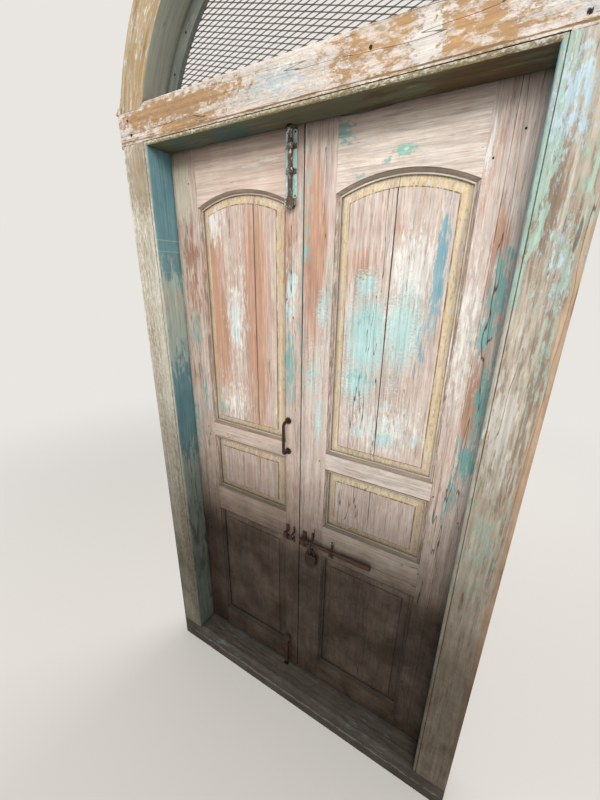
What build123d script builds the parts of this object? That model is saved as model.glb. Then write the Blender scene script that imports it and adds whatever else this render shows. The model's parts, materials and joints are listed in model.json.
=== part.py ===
# Arched double-leaf wooden door in its frame: head beam, jambs, sill, arched over-light
# with a diamond mesh, two panelled leaves and their iron bolts, hinges and padlock.
# Millimetres. +Z is up, +X runs along the door to the viewer's right, and the face that
# the photograph shows looks towards -Y. The origin is the centre of the sill's underside.

import os
from math import atan, ceil, cos, degrees, radians, sin, sqrt

from build123d import *

os.makedirs("parts", exist_ok=True)

# Frame timbers
opening_width = 1000
opening_height = 1945
frame_depth = 130
jamb_width = 105
beam_height = 102
beam_horn = 25
horn_bevel_width = 20
horn_bevel_depth = 14
sill_height = 96
sill_round = 12
rebate_width = 16
bead_width = 9
bead_radius = 6
quirk_width = 2
quirk_depth = 3
frame_tenon_width = 50
frame_tenon_thickness = 35
frame_tenon_length = 45
tenon_fit = 0.3

# Arched over-light on the head beam
arch_radius = 523
arch_drop = 170
ring_width = 95
arch_depth = 110
arch_joint_angle = 66
seat_depth = 12
seat_shoulder = 18
heel_width = 22
heel_height = 38
strip_setback = 78
strip_width = 36
strip_thickness = 14
mesh_margin = 21
mesh_bed = 1
mesh_short_way = 12
mesh_long_way = 42
strand_width = 2.2
strand_thickness = 0.9
nail_head_radius = 3.2
nail_head_height = 1.2
nail_shank_width = 2.2
nail_shank_length = 11
nail_spacing_angle = 11

# Leaves, seen from the front; the meeting line lies left of the opening's centre
leaf_thickness = 40
leaf_setback = 1.7
stop_clearance = 0.3
leaf_floor_gap = 4
hinge_gap = 4
meeting_offset = -14
meeting_gap = 3.5
left_hinge_stile_width = 124
left_meeting_stile_width = 67
right_meeting_stile_width = 103
right_hinge_stile_width = 117
right_strip_width = 62
bottom_rail_height = 110
middle_panel_sill = 786
middle_panel_height = 204
upper_panel_sill = 1069
upper_panel_rise = 33
top_rail_height = 172
left_bottom_panel_height = 542
right_bottom_panel_height = 522
left_board_share = 0.66
right_board_share = 0.47
hollow_chord = 220
hollow_depth = 9
hollow_offset = 140

# Stuck moulding round the panels, grooves, and raised-and-fielded panels
moulding_width = 12
moulding_step = 1.5
moulding_waist = 7
moulding_waist_depth = 4
moulding_ledge = 3
moulding_depth = 9
groove_depth = 9
groove_front = 14
groove_width = 10
panel_fit = 0.4
panel_back_depth = 30
bevel_width = 26
bevel_top_depth = 7
field_step = 1.5
board_gap = 0.5
leaf_tenon_thickness = 12
leaf_tenon_length = 42
leaf_tenon_shoulder = 16

# Butt hinges, three to a leaf
hinge_height = 100
lower_hinge_rise = 206
upper_hinge_drop = 210
flap_thickness = 1.8
flap_reach = 36
knuckle_radius = 5.5
knuckle_share = 0.33
knuckle_clearance = 0.3
pin_radius = 2.5
pin_fit = 0.05
pin_head_radius = 4
pin_head_height = 2

# Sliding bolts of the left leaf
bolt_radius = 6.5
bolt_clearance = 0.6
bolt_plate_thickness = 2
bolt_strap_thickness = 2
bolt_strap_height = 12
bolt_strap_foot = 7
bolt_knob_radius = 14
bolt_knob_thickness = 10
bolt_tip_chamfer = 2
top_bolt_inset = 36
top_bolt_plate_width = 34
top_bolt_plate_height = 153
top_bolt_plate_drop = 7
top_bolt_length = 169
top_bolt_entry = 19
top_bolt_travel = 22
top_strap_levels = (36, 91)
bottom_bolt_inset = 46
bottom_bolt_plate_width = 32
bottom_bolt_plate_height = 108
bottom_bolt_plate_rise = 30
bottom_bolt_length = 144
bottom_bolt_entry = 14
bottom_bolt_travel = 20
bottom_strap_levels = (24, 76)
socket_width = 22
socket_depth = 30
sill_socket_width = 20

# Sliding rod across the meeting line, drawn back on to the right leaf
rod_level = 690
rod_radius = 6.5
rod_cap_radius = 9
rod_cap_length = 36
rod_sleeve_radius = 8.3
rod_sleeve_length = 111
rod_length = 269
rod_entry = 86
rod_standoff = 11.3
rod_travel = 92
loop_clearance = 0.6
loop_thickness = 2.6
loop_foot = 22
keeper_insets = (46, 19)
keeper_widths = (13, 6)
guide_insets = (22, 132)
guide_widths = (16, 8)

# Forged nails, with eight-sided heads and square shanks
head_sides = 8
head_taper = 30
clout_head_radius = 2.6
clout_head_height = 1
clout_shank_width = 1.8
clout_fit = 0.1
clout_edge = 5.5

# Padlock hanging in its own tall staple under the rod
staple_inset = 55
staple_bar = 5
staple_drop = 30
staple_stem = 26
shackle_wire = 3.5
shackle_radius = 13
shackle_standoff = 13
shackle_leg = 7
shackle_rest = 0.3
lock_width = 44
lock_height = 52
lock_shoulder = 31
lock_thickness = 16
lock_bevel = 2
heel_depth = 7
heel_eye_radius = 4
heel_eye_flat = 0.5
slot_clearance = 0.4
toe_clearance = 1.6
lock_rivet_radius = 2.4
lock_rivet_head = 1.2

# Pull handle on the left leaf's meeting stile
pull_inset = 46
pull_level = 1084
pull_reach = 112
pull_standoff = 30
pull_bar_radius = 5
pull_corner = 11
pull_rose_radius = 11
pull_rose_thickness = 3

# Places worked out from the sizes above
half_width = opening_width / 2
front = -frame_depth / 2
back = frame_depth / 2
leaf_back = back - leaf_setback
leaf_front = leaf_back - leaf_thickness
stop_face = leaf_front - stop_clearance
sill_top = sill_height
soffit = sill_top + opening_height
beam_bottom = soffit + bead_width
beam_top = soffit + beam_height
beam_half = half_width + jamb_width + beam_horn
rebate_side = half_width + rebate_width
leaf_edge = rebate_side - hinge_gap
leaf_bottom = sill_top + leaf_floor_gap
leaf_top = beam_bottom - hinge_gap
left_meeting = meeting_offset - meeting_gap / 2
right_meeting = meeting_offset + meeting_gap / 2
jamb_centre = half_width + (rebate_width + jamb_width) / 2
arch_centre = beam_top - arch_drop
ring_radius = arch_radius + ring_width
foot_inside = sqrt(arch_radius**2 - arch_drop**2)
seat_level = beam_top - seat_depth
strip_front = front + strip_setback
strip_back = strip_front + strip_thickness
strip_radius = arch_radius - strip_width
mesh_radius = strip_radius + mesh_margin
hinge_axis = half_width + rebate_width - hinge_gap / 2
hinge_axis_y = back + knuckle_radius
lower_hinge_z = leaf_bottom + lower_hinge_rise
upper_hinge_z = leaf_top - upper_hinge_drop
bolt_y = leaf_front - bolt_plate_thickness - bolt_clearance - bolt_radius
top_bolt_x = left_meeting - top_bolt_inset
bottom_bolt_x = left_meeting - bottom_bolt_inset
rod_y = leaf_front - rod_standoff
rod_z = sill_top + rod_level


def upright(y):
    # A plane parallel to the door's face: its x runs along +X, its y along +Z, and an
    # extrusion from it grows towards the viewer.
    return Plane(origin=(0, y, 0), x_dir=(1, 0, 0), z_dir=(0, -1, 0))


def crosswise(x):
    # A plane across the door: its x runs along +Y, its y along +Z, and an extrusion
    # from it grows towards +X.
    return Plane(origin=(x, 0, 0), x_dir=(0, 1, 0), z_dir=(1, 0, 0))


def keep(piece, node):
    piece.label = node
    export_step(piece, f"parts/{node}.step")


def group(pieces, node):
    # Identical small pieces share one node as separate solids.
    keep(Compound(children=[piece.solid() for piece in pieces]), node)


def make_jamb(side, node):
    # A jamb: stop and rebate, a beaded inner arris, a mitred top inner corner and a
    # tenon at each end.
    with BuildPart() as jamb:
        with BuildSketch(Plane.XY.offset(sill_top)):
            with BuildLine():
                Polyline(
                    (side * (half_width + jamb_width), front),
                    (side * half_width, front),
                    (side * half_width, stop_face),
                    (side * rebate_side, stop_face),
                    (side * rebate_side, back),
                    (side * (half_width + jamb_width), back),
                    close=True,
                )
            make_face()
            arris = vertices().sort_by_distance((side * half_width, front, sill_top))[0]
            fillet(arris, bead_radius)
            with Locations((side * (half_width + bead_width + quirk_width / 2), front)):
                Rectangle(quirk_width, 2 * quirk_depth, mode=Mode.SUBTRACT)
        extrude(amount=beam_bottom - sill_top)
        with BuildSketch(upright(back)):
            with BuildLine():
                Polyline(
                    (side * half_width, soffit),
                    (side * (half_width + bead_width), beam_bottom),
                    (side * half_width, beam_bottom),
                    close=True,
                )
            make_face()
        extrude(amount=frame_depth, mode=Mode.SUBTRACT)
        for level, way in ((beam_bottom, 1), (sill_top, -1)):
            with Locations((side * jamb_centre, 0, level + way * frame_tenon_length / 2)):
                Box(frame_tenon_width, frame_tenon_thickness, frame_tenon_length)
    keep(jamb.part, node)


def cut_mortises(level):
    # Mortises for the two jambs' tenons, open on the face at this level.
    with Locations(*[(side * jamb_centre, 0, level) for side in (-1, 1)]):
        Box(
            frame_tenon_width + 2 * tenon_fit,
            frame_tenon_thickness + 2 * tenon_fit,
            2 * (frame_tenon_length + tenon_fit),
            mode=Mode.SUBTRACT,
        )


def make_beam():
    # The head beam: horns with a hewn bevel, lowered seats for the arch's feet, a beaded
    # lower arris that mitres into the jambs, and the top bolt's socket in its soffit.
    shoulder = foot_inside + seat_shoulder
    with BuildPart() as beam:
        with BuildSketch(upright(back)):
            with BuildLine() as half_outline:
                Polyline(
                    (0, soffit),
                    (half_width, soffit),
                    (half_width + bead_width, beam_bottom),
                    (beam_half, beam_bottom),
                    (beam_half, seat_level),
                    (shoulder, seat_level),
                    (foot_inside, beam_top),
                    (0, beam_top),
                )
                mirror(half_outline.edges(), about=Plane.YZ)
            make_face()
        extrude(amount=frame_depth)
        arris = beam.edges().filter_by(Axis.X).sort_by_distance((0, front, soffit))[0]
        fillet(arris, bead_radius)
        with Locations((0, (stop_face + back) / 2, soffit)):
            Box(2 * rebate_side, back - stop_face, 2 * bead_width, mode=Mode.SUBTRACT)
        with Locations((0, front, beam_bottom + quirk_width / 2)):
            quirk_length = 2 * (half_width + bead_width + quirk_width)
            Box(quirk_length, 2 * quirk_depth, quirk_width, mode=Mode.SUBTRACT)
        cut_mortises(beam_bottom)
        with Locations((top_bolt_x, bolt_y, soffit)):
            Box(socket_width, socket_width, 2 * socket_depth, mode=Mode.SUBTRACT)
        for side in (-1, 1):
            with BuildSketch(Plane.XY.offset(beam_bottom)):
                with BuildLine():
                    Polyline(
                        (side * (beam_half - horn_bevel_width), front),
                        (side * beam_half, front),
                        (side * beam_half, front + horn_bevel_depth),
                        close=True,
                    )
                make_face()
            extrude(amount=beam_height, mode=Mode.SUBTRACT)
    keep(beam.part, "head_beam")


def make_sill():
    # The sill carries both jambs, flush with their faces; its tread is worn round.
    with BuildPart() as sill:
        with Locations((0, 0, sill_height / 2)):
            Box(2 * (half_width + jamb_width), frame_depth, sill_height)
        with BuildSketch(crosswise(-half_width)):
            with Locations((front, sill_top)):
                Rectangle(2 * sill_round, 2 * sill_round)
            with Locations((front + sill_round, sill_top - sill_round)):
                Circle(sill_round, mode=Mode.SUBTRACT)
        extrude(amount=opening_width, mode=Mode.SUBTRACT)
        cut_mortises(sill_top)
        with Locations((bottom_bolt_x, bolt_y, sill_top)):
            Box(sill_socket_width, sill_socket_width, 2 * socket_depth, mode=Mode.SUBTRACT)
    keep(sill.part, "sill")


def ring_point(radius, angle):
    return (radius * cos(radians(angle)), arch_centre + radius * sin(radians(angle)))


def make_arch_leg(side, node):
    # The lower third of the arch: its foot sits in the beam's lowered seat, bears on
    # the seat's shoulder and flares to a small heel outside.
    heel_base = sqrt(ring_radius**2 - (seat_level - arch_centre) ** 2)
    heel_top_level = seat_level + heel_height
    heel_top = sqrt(ring_radius**2 - (heel_top_level - arch_centre) ** 2)
    reach = 2 * ring_radius
    joint_x, joint_z = ring_point(reach, arch_joint_angle)
    with BuildPart() as leg:
        with BuildSketch(upright(front + arch_depth)):
            with Locations((0, arch_centre)):
                Circle(ring_radius)
                Circle(arch_radius, mode=Mode.SUBTRACT)
            with BuildLine():
                Polyline(
                    (side * arch_drop * joint_x / (joint_z - arch_centre), beam_top),
                    (side * joint_x, joint_z),
                    (side * reach, seat_level + reach),
                    (side * reach, seat_level),
                    (side * (foot_inside + seat_shoulder), seat_level),
                    (side * foot_inside, beam_top),
                    close=True,
                )
            make_face(mode=Mode.INTERSECT)
            with BuildLine():
                Polyline(
                    (side * (heel_base - heel_width), seat_level),
                    (side * (heel_base + heel_width), seat_level),
                    (side * heel_top, heel_top_level),
                    (side * (heel_top - heel_width), heel_top_level),
                    close=True,
                )
            make_face()
        extrude(amount=arch_depth)
    keep(leg.part, node)


def make_arch_crown():
    reach = 2 * ring_radius
    with BuildPart() as crown:
        with BuildSketch(upright(front + arch_depth)):
            with Locations((0, arch_centre)):
                Circle(ring_radius)
                Circle(arch_radius, mode=Mode.SUBTRACT)
            with BuildLine():
                Polyline(
                    (0, arch_centre),
                    ring_point(reach, arch_joint_angle),
                    (0, arch_centre + 2 * reach),
                    ring_point(reach, 180 - arch_joint_angle),
                    close=True,
                )
            make_face(mode=Mode.INTERSECT)
        extrude(amount=arch_depth)
    keep(crown.part, "arch_crown")


def nail_places():
    # Nails along the middle of the arched strip.
    middle = strip_radius + strip_width / 2
    first = degrees(atan(arch_drop / foot_inside)) + nail_spacing_angle / 2
    count = int((180 - 2 * first) // nail_spacing_angle) + 1
    start = 90 - (count - 1) * nail_spacing_angle / 2
    return [ring_point(middle, start + n * nail_spacing_angle) for n in range(count)]


def make_strips():
    # The set-back strips that the mesh is nailed to: one follows the arch, the other
    # lies on the beam.
    with BuildPart() as arched:
        with BuildSketch(upright(strip_back)):
            with Locations((0, arch_centre)):
                Circle(arch_radius)
                Circle(strip_radius, mode=Mode.SUBTRACT)
            with Locations((0, beam_top - arch_radius)):
                Rectangle(3 * arch_radius, 2 * arch_radius, mode=Mode.SUBTRACT)
            with Locations(*nail_places()):
                Rectangle(nail_shank_width, nail_shank_width, mode=Mode.SUBTRACT)
        extrude(amount=strip_thickness)
    keep(arched.part, "arch_strip")
    with BuildPart() as level:
        with BuildSketch(upright(strip_back)):
            with Locations((0, beam_top + strip_width / 2)):
                Rectangle(2 * arch_radius, strip_width)
            with Locations((0, arch_centre)):
                Circle(strip_radius, mode=Mode.INTERSECT)
        extrude(amount=strip_thickness)
    keep(level.part, "beam_strip")


def make_strands(way, y):
    # One family of the mesh's parallel strands, cut to the over-light's outline.
    slope = mesh_short_way / mesh_long_way
    height = ring_radius - arch_drop
    spread = mesh_radius * slope
    count = ceil((height + 2 * spread) / mesh_short_way)
    levels = [beam_top - spread + n * mesh_short_way for n in range(count)]
    with BuildPart() as strands:
        with BuildSketch(upright(y)):
            with Locations(*[(0, level) for level in levels]):
                Rectangle(3 * mesh_radius, strand_width, rotation=way * degrees(atan(slope)))
            with Locations((0, arch_centre)):
                Circle(mesh_radius, mode=Mode.INTERSECT)
            with Locations((0, beam_top + mesh_bed - mesh_radius)):
                Rectangle(4 * mesh_radius, 2 * mesh_radius, mode=Mode.SUBTRACT)
        extrude(amount=strand_thickness)
    return strands.part


def make_mesh():
    # Diamond mesh of the over-light: two layers of slanting strands that cross face to
    # face behind the strips.
    falling = make_strands(-1, strip_back + strand_thickness)
    rising = make_strands(1, strip_back + 2 * strand_thickness)
    shortest = mesh_long_way * strand_width * strand_thickness
    strands = [strand for strand in falling.solids() + rising.solids() if strand.volume > shortest]
    keep(Compound(children=strands), "over_light_mesh")


def make_strip_nails():
    with BuildPart() as nails:
        with BuildSketch(upright(strip_front)):
            with Locations(*nail_places()):
                RegularPolygon(nail_head_radius, head_sides)
        extrude(amount=nail_head_height, taper=head_taper)
        with BuildSketch(upright(strip_front + nail_shank_length)):
            with Locations(*nail_places()):
                Rectangle(nail_shank_width, nail_shank_width)
        extrude(amount=nail_shank_length)
    keep(nails.part, "strip_nails")


def panel_outline(opening, grow, y):
    # A panel opening's outline at depth y, made larger by an even margin. Its top is a
    # segmental arc where the opening has a rise, and straight where it has none.
    left, right, bottom, spring, rise = opening
    middle = (left + right) / 2
    half = (right - left) / 2
    with BuildSketch(upright(y)) as outline:
        with BuildLine():
            if rise > 0:
                radius = (half**2 + rise**2) / (2 * rise)
                centre = spring + rise - radius
                corner = centre + sqrt((radius + grow) ** 2 - (half + grow) ** 2)
                crown = (middle, spring + rise + grow)
                ThreePointArc((right + grow, corner), crown, (left - grow, corner))
            else:
                corner = spring + grow
                Line((right + grow, corner), (left - grow, corner))
            Polyline(
                (left - grow, corner),
                (left - grow, bottom - grow),
                (right + grow, bottom - grow),
                (right + grow, corner),
            )
        make_face()
    return outline.sketch


def sight_corner(opening, grow):
    # Height of the outline's upper corners for that margin.
    left, right, bottom, spring, rise = opening
    if rise <= 0:
        return spring + grow
    half = (right - left) / 2
    radius = (half**2 + rise**2) / (2 * rise)
    return spring + rise - radius + sqrt((radius + grow) ** 2 - (half + grow) ** 2)


def rail_outline(below, above):
    # Front outline of a rail between two openings, or between an opening and the leaf's
    # end. Where it meets a stile's moulding it is cut to a mitre.
    opening = below or above
    left, right = opening[0], opening[1]
    inner_left, inner_right = left - moulding_width, right + moulding_width
    with BuildSketch() as outline:
        with BuildLine():
            if above:
                top = above[2]
                Polyline(
                    (inner_left, top - moulding_width),
                    (left, top),
                    (right, top),
                    (inner_right, top - moulding_width),
                )
                upper = top - moulding_width
            else:
                Line((inner_left, leaf_top), (inner_right, leaf_top))
                upper = leaf_top
            if below:
                spring, rise = below[3], below[4]
                lower = sight_corner(below, moulding_width)
                Line((inner_left, lower), (left, spring))
                if rise > 0:
                    ThreePointArc((left, spring), ((left + right) / 2, spring + rise), (right, spring))
                else:
                    Line((left, spring), (right, spring))
                Line((right, spring), (inner_right, lower))
            else:
                Line((inner_left, leaf_bottom), (inner_right, leaf_bottom))
                lower = leaf_bottom
            Line((inner_left, upper), (inner_left, lower))
            Line((inner_right, upper), (inner_right, lower))
        make_face()
    return outline.sketch


def cut_openings(openings):
    # The stuck moulding's stepped and sloping face, and the panel's groove, round each
    # opening, taken out of the timber in hand.
    slope = (
        (moulding_width, moulding_step),
        (moulding_waist, moulding_waist_depth),
        (moulding_ledge, moulding_depth),
    )
    groove_back = leaf_front + groove_front + groove_width
    for opening in openings:
        sections = [panel_outline(opening, grow, leaf_front + depth) for grow, depth in slope]
        extrude(sections[0], amount=moulding_step, mode=Mode.SUBTRACT)
        loft(sections, ruled=True, mode=Mode.SUBTRACT)
        groove = panel_outline(opening, groove_depth, groove_back)
        extrude(groove, amount=groove_width, mode=Mode.SUBTRACT)


def tenon_boxes(rail, fit):
    # Centre and size of a rail's two tenons. Each stands clear of the panel grooves.
    left, right, low, high = rail
    height = high - low - 2 * leaf_tenon_shoulder
    middle = (low + high) / 2
    y = leaf_front + groove_front + groove_width / 2
    size = (leaf_tenon_length + fit, leaf_tenon_thickness + 2 * fit, height + 2 * fit)
    places = [(left - size[0] / 2, y, middle), (right + size[0] / 2, y, middle)]
    return places, size


def make_rail(node, below, above, hollow=None):
    opening = below or above
    left, right = opening[0] - moulding_width, opening[1] + moulding_width
    low = sight_corner(below, moulding_width) if below else leaf_bottom
    high = above[2] - moulding_width if above else leaf_top
    places, size = tenon_boxes((left, right, low, high), 0)
    with BuildPart() as rail:
        with BuildSketch(upright(leaf_back)):
            add(rail_outline(below, above))
        extrude(amount=leaf_thickness)
        with Locations(*places):
            Box(*size)
        cut_openings([opening for opening in (below, above) if opening])
        if hollow:
            radius = (hollow_chord**2 / 4 + hollow_depth**2) / (2 * hollow_depth)
            with BuildSketch(upright(leaf_back)):
                with Locations((hollow, leaf_top + radius - hollow_depth)):
                    Circle(radius)
            extrude(amount=leaf_thickness, mode=Mode.SUBTRACT)
    keep(rail.part, node)
    return (left, right, low, high)


def make_stile(node, outer, inner, openings, rails, outlines, x_limits=None):
    # A stile from the leaf's outer edge to the panels' sight line, cut round the rails'
    # ends and mortised for their tenons.
    with BuildPart() as stile:
        with BuildSketch(upright(leaf_back)):
            with Locations(((outer + inner) / 2, (leaf_bottom + leaf_top) / 2)):
                Rectangle(abs(outer - inner), leaf_top - leaf_bottom)
            for outline in outlines:
                add(outline, mode=Mode.SUBTRACT)
        extrude(amount=leaf_thickness)
        for rail in rails:
            places, size = tenon_boxes(rail, tenon_fit)
            with Locations(*places):
                Box(*size, mode=Mode.SUBTRACT)
        cut_openings(openings)
        if x_limits:
            with Locations(((x_limits[0] + x_limits[1]) / 2, 0, (leaf_bottom + leaf_top) / 2)):
                Box(x_limits[1] - x_limits[0], 2 * frame_depth, 2 * leaf_top, mode=Mode.INTERSECT)
    keep(stile.part, node)


def make_panel(node, opening, x_limits=None):
    # A raised-and-fielded panel: a tongue in the frame's groove, a sloping bevel that
    # follows the opening, and a flat field a small step above it.
    tongue_back = leaf_front + groove_front + groove_width - panel_fit
    tongue_front = leaf_front + groove_front + panel_fit
    body = panel_outline(opening, -panel_fit, leaf_front + panel_back_depth)
    rim = panel_outline(opening, -panel_fit, tongue_front)
    field = panel_outline(opening, -bevel_width, leaf_front + bevel_top_depth)
    with BuildPart() as panel:
        extrude(
            panel_outline(opening, groove_depth - panel_fit, tongue_back),
            amount=tongue_back - tongue_front,
        )
        extrude(body, amount=leaf_front + panel_back_depth - tongue_back)
        loft([rim, field], ruled=True)
        extrude(field, amount=field_step)
        if x_limits:
            middle = ((x_limits[0] + x_limits[1]) / 2, 0, (leaf_bottom + leaf_top) / 2)
            with Locations(middle):
                Box(x_limits[1] - x_limits[0], 2 * frame_depth, 2 * leaf_top, mode=Mode.INTERSECT)
    keep(panel.part, node)


def make_leaf(side, hinge_stile_width, meeting_stile_width, bottom_panel_height, board_share):
    # One leaf's timbers and panels. side is "left" or "right".
    if side == "left":
        outer_left, outer_right = -leaf_edge, left_meeting
        left_width, right_width = hinge_stile_width, meeting_stile_width
    else:
        outer_left, outer_right = right_meeting, leaf_edge
        left_width, right_width = meeting_stile_width, hinge_stile_width
    left, right = outer_left + left_width, outer_right - right_width
    sill_line = leaf_bottom + bottom_rail_height
    bottom = (left, right, sill_line, sill_line + bottom_panel_height, 0)
    middle_sill = sill_top + middle_panel_sill
    middle = (left, right, middle_sill, middle_sill + middle_panel_height, 0)
    upper_sill = sill_top + upper_panel_sill
    upper = (left, right, upper_sill, leaf_top - top_rail_height, upper_panel_rise)
    openings = [bottom, middle, upper]

    hollow = hollow_offset if side == "right" else None
    rails = [
        make_rail(f"{side}_bottom_rail", None, bottom),
        make_rail(f"{side}_lower_lock_rail", bottom, middle),
        make_rail(f"{side}_upper_lock_rail", middle, upper),
        make_rail(f"{side}_top_rail", upper, None, hollow),
    ]
    outlines = [
        rail_outline(None, bottom),
        rail_outline(bottom, middle),
        rail_outline(middle, upper),
        rail_outline(upper, None),
    ]
    if side == "left":
        make_stile("left_hinge_stile", outer_left, left, openings, rails, outlines)
        make_stile("left_meeting_stile", outer_right, right, openings, rails, outlines)
    else:
        seam = outer_right - right_strip_width
        make_stile("right_meeting_stile", outer_left, left, openings, rails, outlines)
        make_stile(
            "right_hinge_stile", outer_right, right, openings, rails, outlines, (0, seam)
        )
        make_stile(
            "right_stile_strip", outer_right, right, openings, rails, outlines, (seam, outer_right)
        )

    joint = left + board_share * (right - left)
    make_panel(f"{side}_left_board", upper, (left - left_width, joint - board_gap / 2))
    make_panel(f"{side}_right_board", upper, (joint + board_gap / 2, right + right_width))
    make_panel(f"{side}_middle_panel", middle)
    make_panel(f"{side}_bottom_panel", bottom)


def knuckle(level, low, high, side):
    with Locations((side * hinge_axis, hinge_axis_y, level + (low + high) / 2)):
        Cylinder(knuckle_radius, high - low)


def make_hinge(side, side_name, level, level_name):
    # A butt hinge in the gap between jamb and leaf. The frame's flap carries the two end
    # knuckles, the leaf's flap the middle one.
    half = hinge_height / 2
    inner = half - hinge_height * knuckle_share
    clear = knuckle_clearance
    plate_back = back - clear
    plate_front = plate_back - flap_reach
    spans = {"frame": [(-half, -inner), (inner, half)], "leaf": [(clear - inner, inner - clear)]}
    faces = {
        "frame": (rebate_side - flap_thickness, rebate_side),
        "leaf": (leaf_edge, leaf_edge + flap_thickness),
    }
    for owner in ("frame", "leaf"):
        inside, outside = faces[owner]
        with BuildPart() as flap:
            with Locations((side * (inside + outside) / 2, (plate_front + plate_back) / 2, level)):
                Box(flap_thickness, flap_reach, hinge_height)
            for low, high in spans[owner]:
                tab = (plate_back + hinge_axis_y) / 2
                with Locations((side * (inside + outside) / 2, tab, level + (low + high) / 2)):
                    Box(flap_thickness, hinge_axis_y - plate_back, high - low)
                knuckle(level, low, high, side)
            with Locations((side * hinge_axis, hinge_axis_y, level)):
                Cylinder(pin_radius + pin_fit, 2 * hinge_height, mode=Mode.SUBTRACT)
        keep(flap.part, f"{side_name}_{level_name}_hinge_{owner}_flap")
    with BuildPart() as pin:
        with Locations((side * hinge_axis, hinge_axis_y, level)):
            Cylinder(pin_radius, hinge_height)
        with Locations((side * hinge_axis, hinge_axis_y, level + half + pin_head_height / 2)):
            Cylinder(pin_head_radius, pin_head_height)
    return pin.part


def plate_nails(x, low, width, height):
    # The four nails of a bolt plate, with the thickness that each passes through.
    across = width / 2 - clout_edge
    levels = (low + clout_edge, low + height - clout_edge)
    return [(x + way * across, z, bolt_plate_thickness) for z in levels for way in (-1, 1)]


def make_bolt_plate(node, x, low, width, height):
    nails = plate_nails(x, low, width, height)
    with BuildPart() as plate:
        with BuildSketch(upright(leaf_front)):
            with Locations((x, low + height / 2)):
                RectangleRounded(width, height, width / 5)
            hole = clout_shank_width + 2 * clout_fit
            with Locations(*[(nail_x, nail_z) for nail_x, nail_z, _ in nails]):
                Rectangle(hole, hole, mode=Mode.SUBTRACT)
        extrude(amount=bolt_plate_thickness)
    keep(plate.part, node)
    return nails


def make_bolt_straps(node, x, levels):
    # Straps bent over the bolt, with a foot each side on the plate.
    hole = bolt_radius + bolt_clearance
    outer = hole + bolt_strap_thickness
    plate_face = leaf_front - bolt_plate_thickness
    straps = []
    for level in levels:
        with BuildPart() as strap:
            with BuildSketch(Plane.XY.offset(level - bolt_strap_height / 2)):
                with Locations((x, bolt_y)):
                    Circle(outer)
                with Locations((x, (bolt_y + plate_face) / 2)):
                    Rectangle(2 * outer, plate_face - bolt_y)
                with Locations((x, plate_face - bolt_strap_thickness / 2)):
                    Rectangle(2 * (outer + bolt_strap_foot), bolt_strap_thickness)
                with Locations((x, bolt_y)):
                    Circle(hole, mode=Mode.SUBTRACT)
                with Locations((x, (bolt_y + plate_face) / 2)):
                    Rectangle(2 * hole, plate_face - bolt_y, mode=Mode.SUBTRACT)
                with Locations((x, plate_face + outer)):
                    Rectangle(4 * outer, 2 * outer, mode=Mode.SUBTRACT)
            extrude(amount=bolt_strap_height)
        straps.append(strap.part)
    group(straps, node)


def make_bolt(node, x, low, length, tip_up):
    # A round bolt with a flat round knob at the end away from its tip.
    tip = low + length if tip_up else low
    tail = low if tip_up else low + length
    with BuildPart() as bolt:
        with Locations((x, bolt_y, low + length / 2)):
            Cylinder(bolt_radius, length)
        rim = bolt.edges().filter_by(GeomType.CIRCLE).sort_by_distance((x, bolt_y, tip))[0]
        chamfer(rim, bolt_tip_chamfer)
        with Locations((x, bolt_y, tail)):
            Cylinder(bolt_knob_radius, bolt_knob_thickness, rotation=(90, 0, 0))
    keep(bolt.part, node)


def make_leaf_bolts():
    plate_low = soffit - top_bolt_plate_drop - top_bolt_plate_height
    nails = make_bolt_plate(
        "top_bolt_plate", top_bolt_x, plate_low, top_bolt_plate_width, top_bolt_plate_height
    )
    make_bolt_straps(
        "top_bolt_straps",
        top_bolt_x,
        [soffit - top_bolt_plate_drop - level for level in top_strap_levels],
    )
    top_low = soffit + top_bolt_entry - top_bolt_travel - top_bolt_length
    make_bolt("top_bolt", top_bolt_x, top_low, top_bolt_length, True)

    plate_low = sill_top + bottom_bolt_plate_rise
    nails += make_bolt_plate(
        "bottom_bolt_plate",
        bottom_bolt_x,
        plate_low,
        bottom_bolt_plate_width,
        bottom_bolt_plate_height,
    )
    make_bolt_straps(
        "bottom_bolt_straps", bottom_bolt_x, [plate_low + level for level in bottom_strap_levels]
    )
    bottom_low = sill_top - bottom_bolt_entry + bottom_bolt_travel
    make_bolt("bottom_bolt", bottom_bolt_x, bottom_low, bottom_bolt_length, False)
    return nails


def make_rod_loops(node, places, widths):
    # Straps bent square round the rod, with long feet on the leaf.
    inner = rod_cap_radius + loop_clearance
    outer = inner + loop_thickness
    foot = outer + loop_foot - clout_edge
    hole = clout_shank_width + 2 * clout_fit
    nails = [(x, rod_z + way * foot, loop_thickness) for x in places for way in (-1, 1)]
    loops = []
    for x, width in zip(places, widths):
        with BuildPart() as loop:
            with BuildSketch(crosswise(x - width / 2)):
                with Locations(((rod_y - outer + leaf_front) / 2, rod_z)):
                    Rectangle(leaf_front - rod_y + outer, 2 * outer)
                fillet(vertices().group_by(Axis.Y)[0], loop_thickness)
                with Locations((leaf_front - loop_thickness / 2, rod_z)):
                    Rectangle(loop_thickness, 2 * (outer + loop_foot))
                with Locations(((rod_y - inner + leaf_front) / 2, rod_z)):
                    Rectangle(leaf_front - rod_y + inner, 2 * inner, mode=Mode.SUBTRACT)
            extrude(amount=width)
            with Locations(*[(x, leaf_front, rod_z + way * foot) for way in (-1, 1)]):
                Box(hole, 4 * loop_thickness, hole, mode=Mode.SUBTRACT)
        loops.append(loop.part)
    group(loops, node)
    return nails


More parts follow.
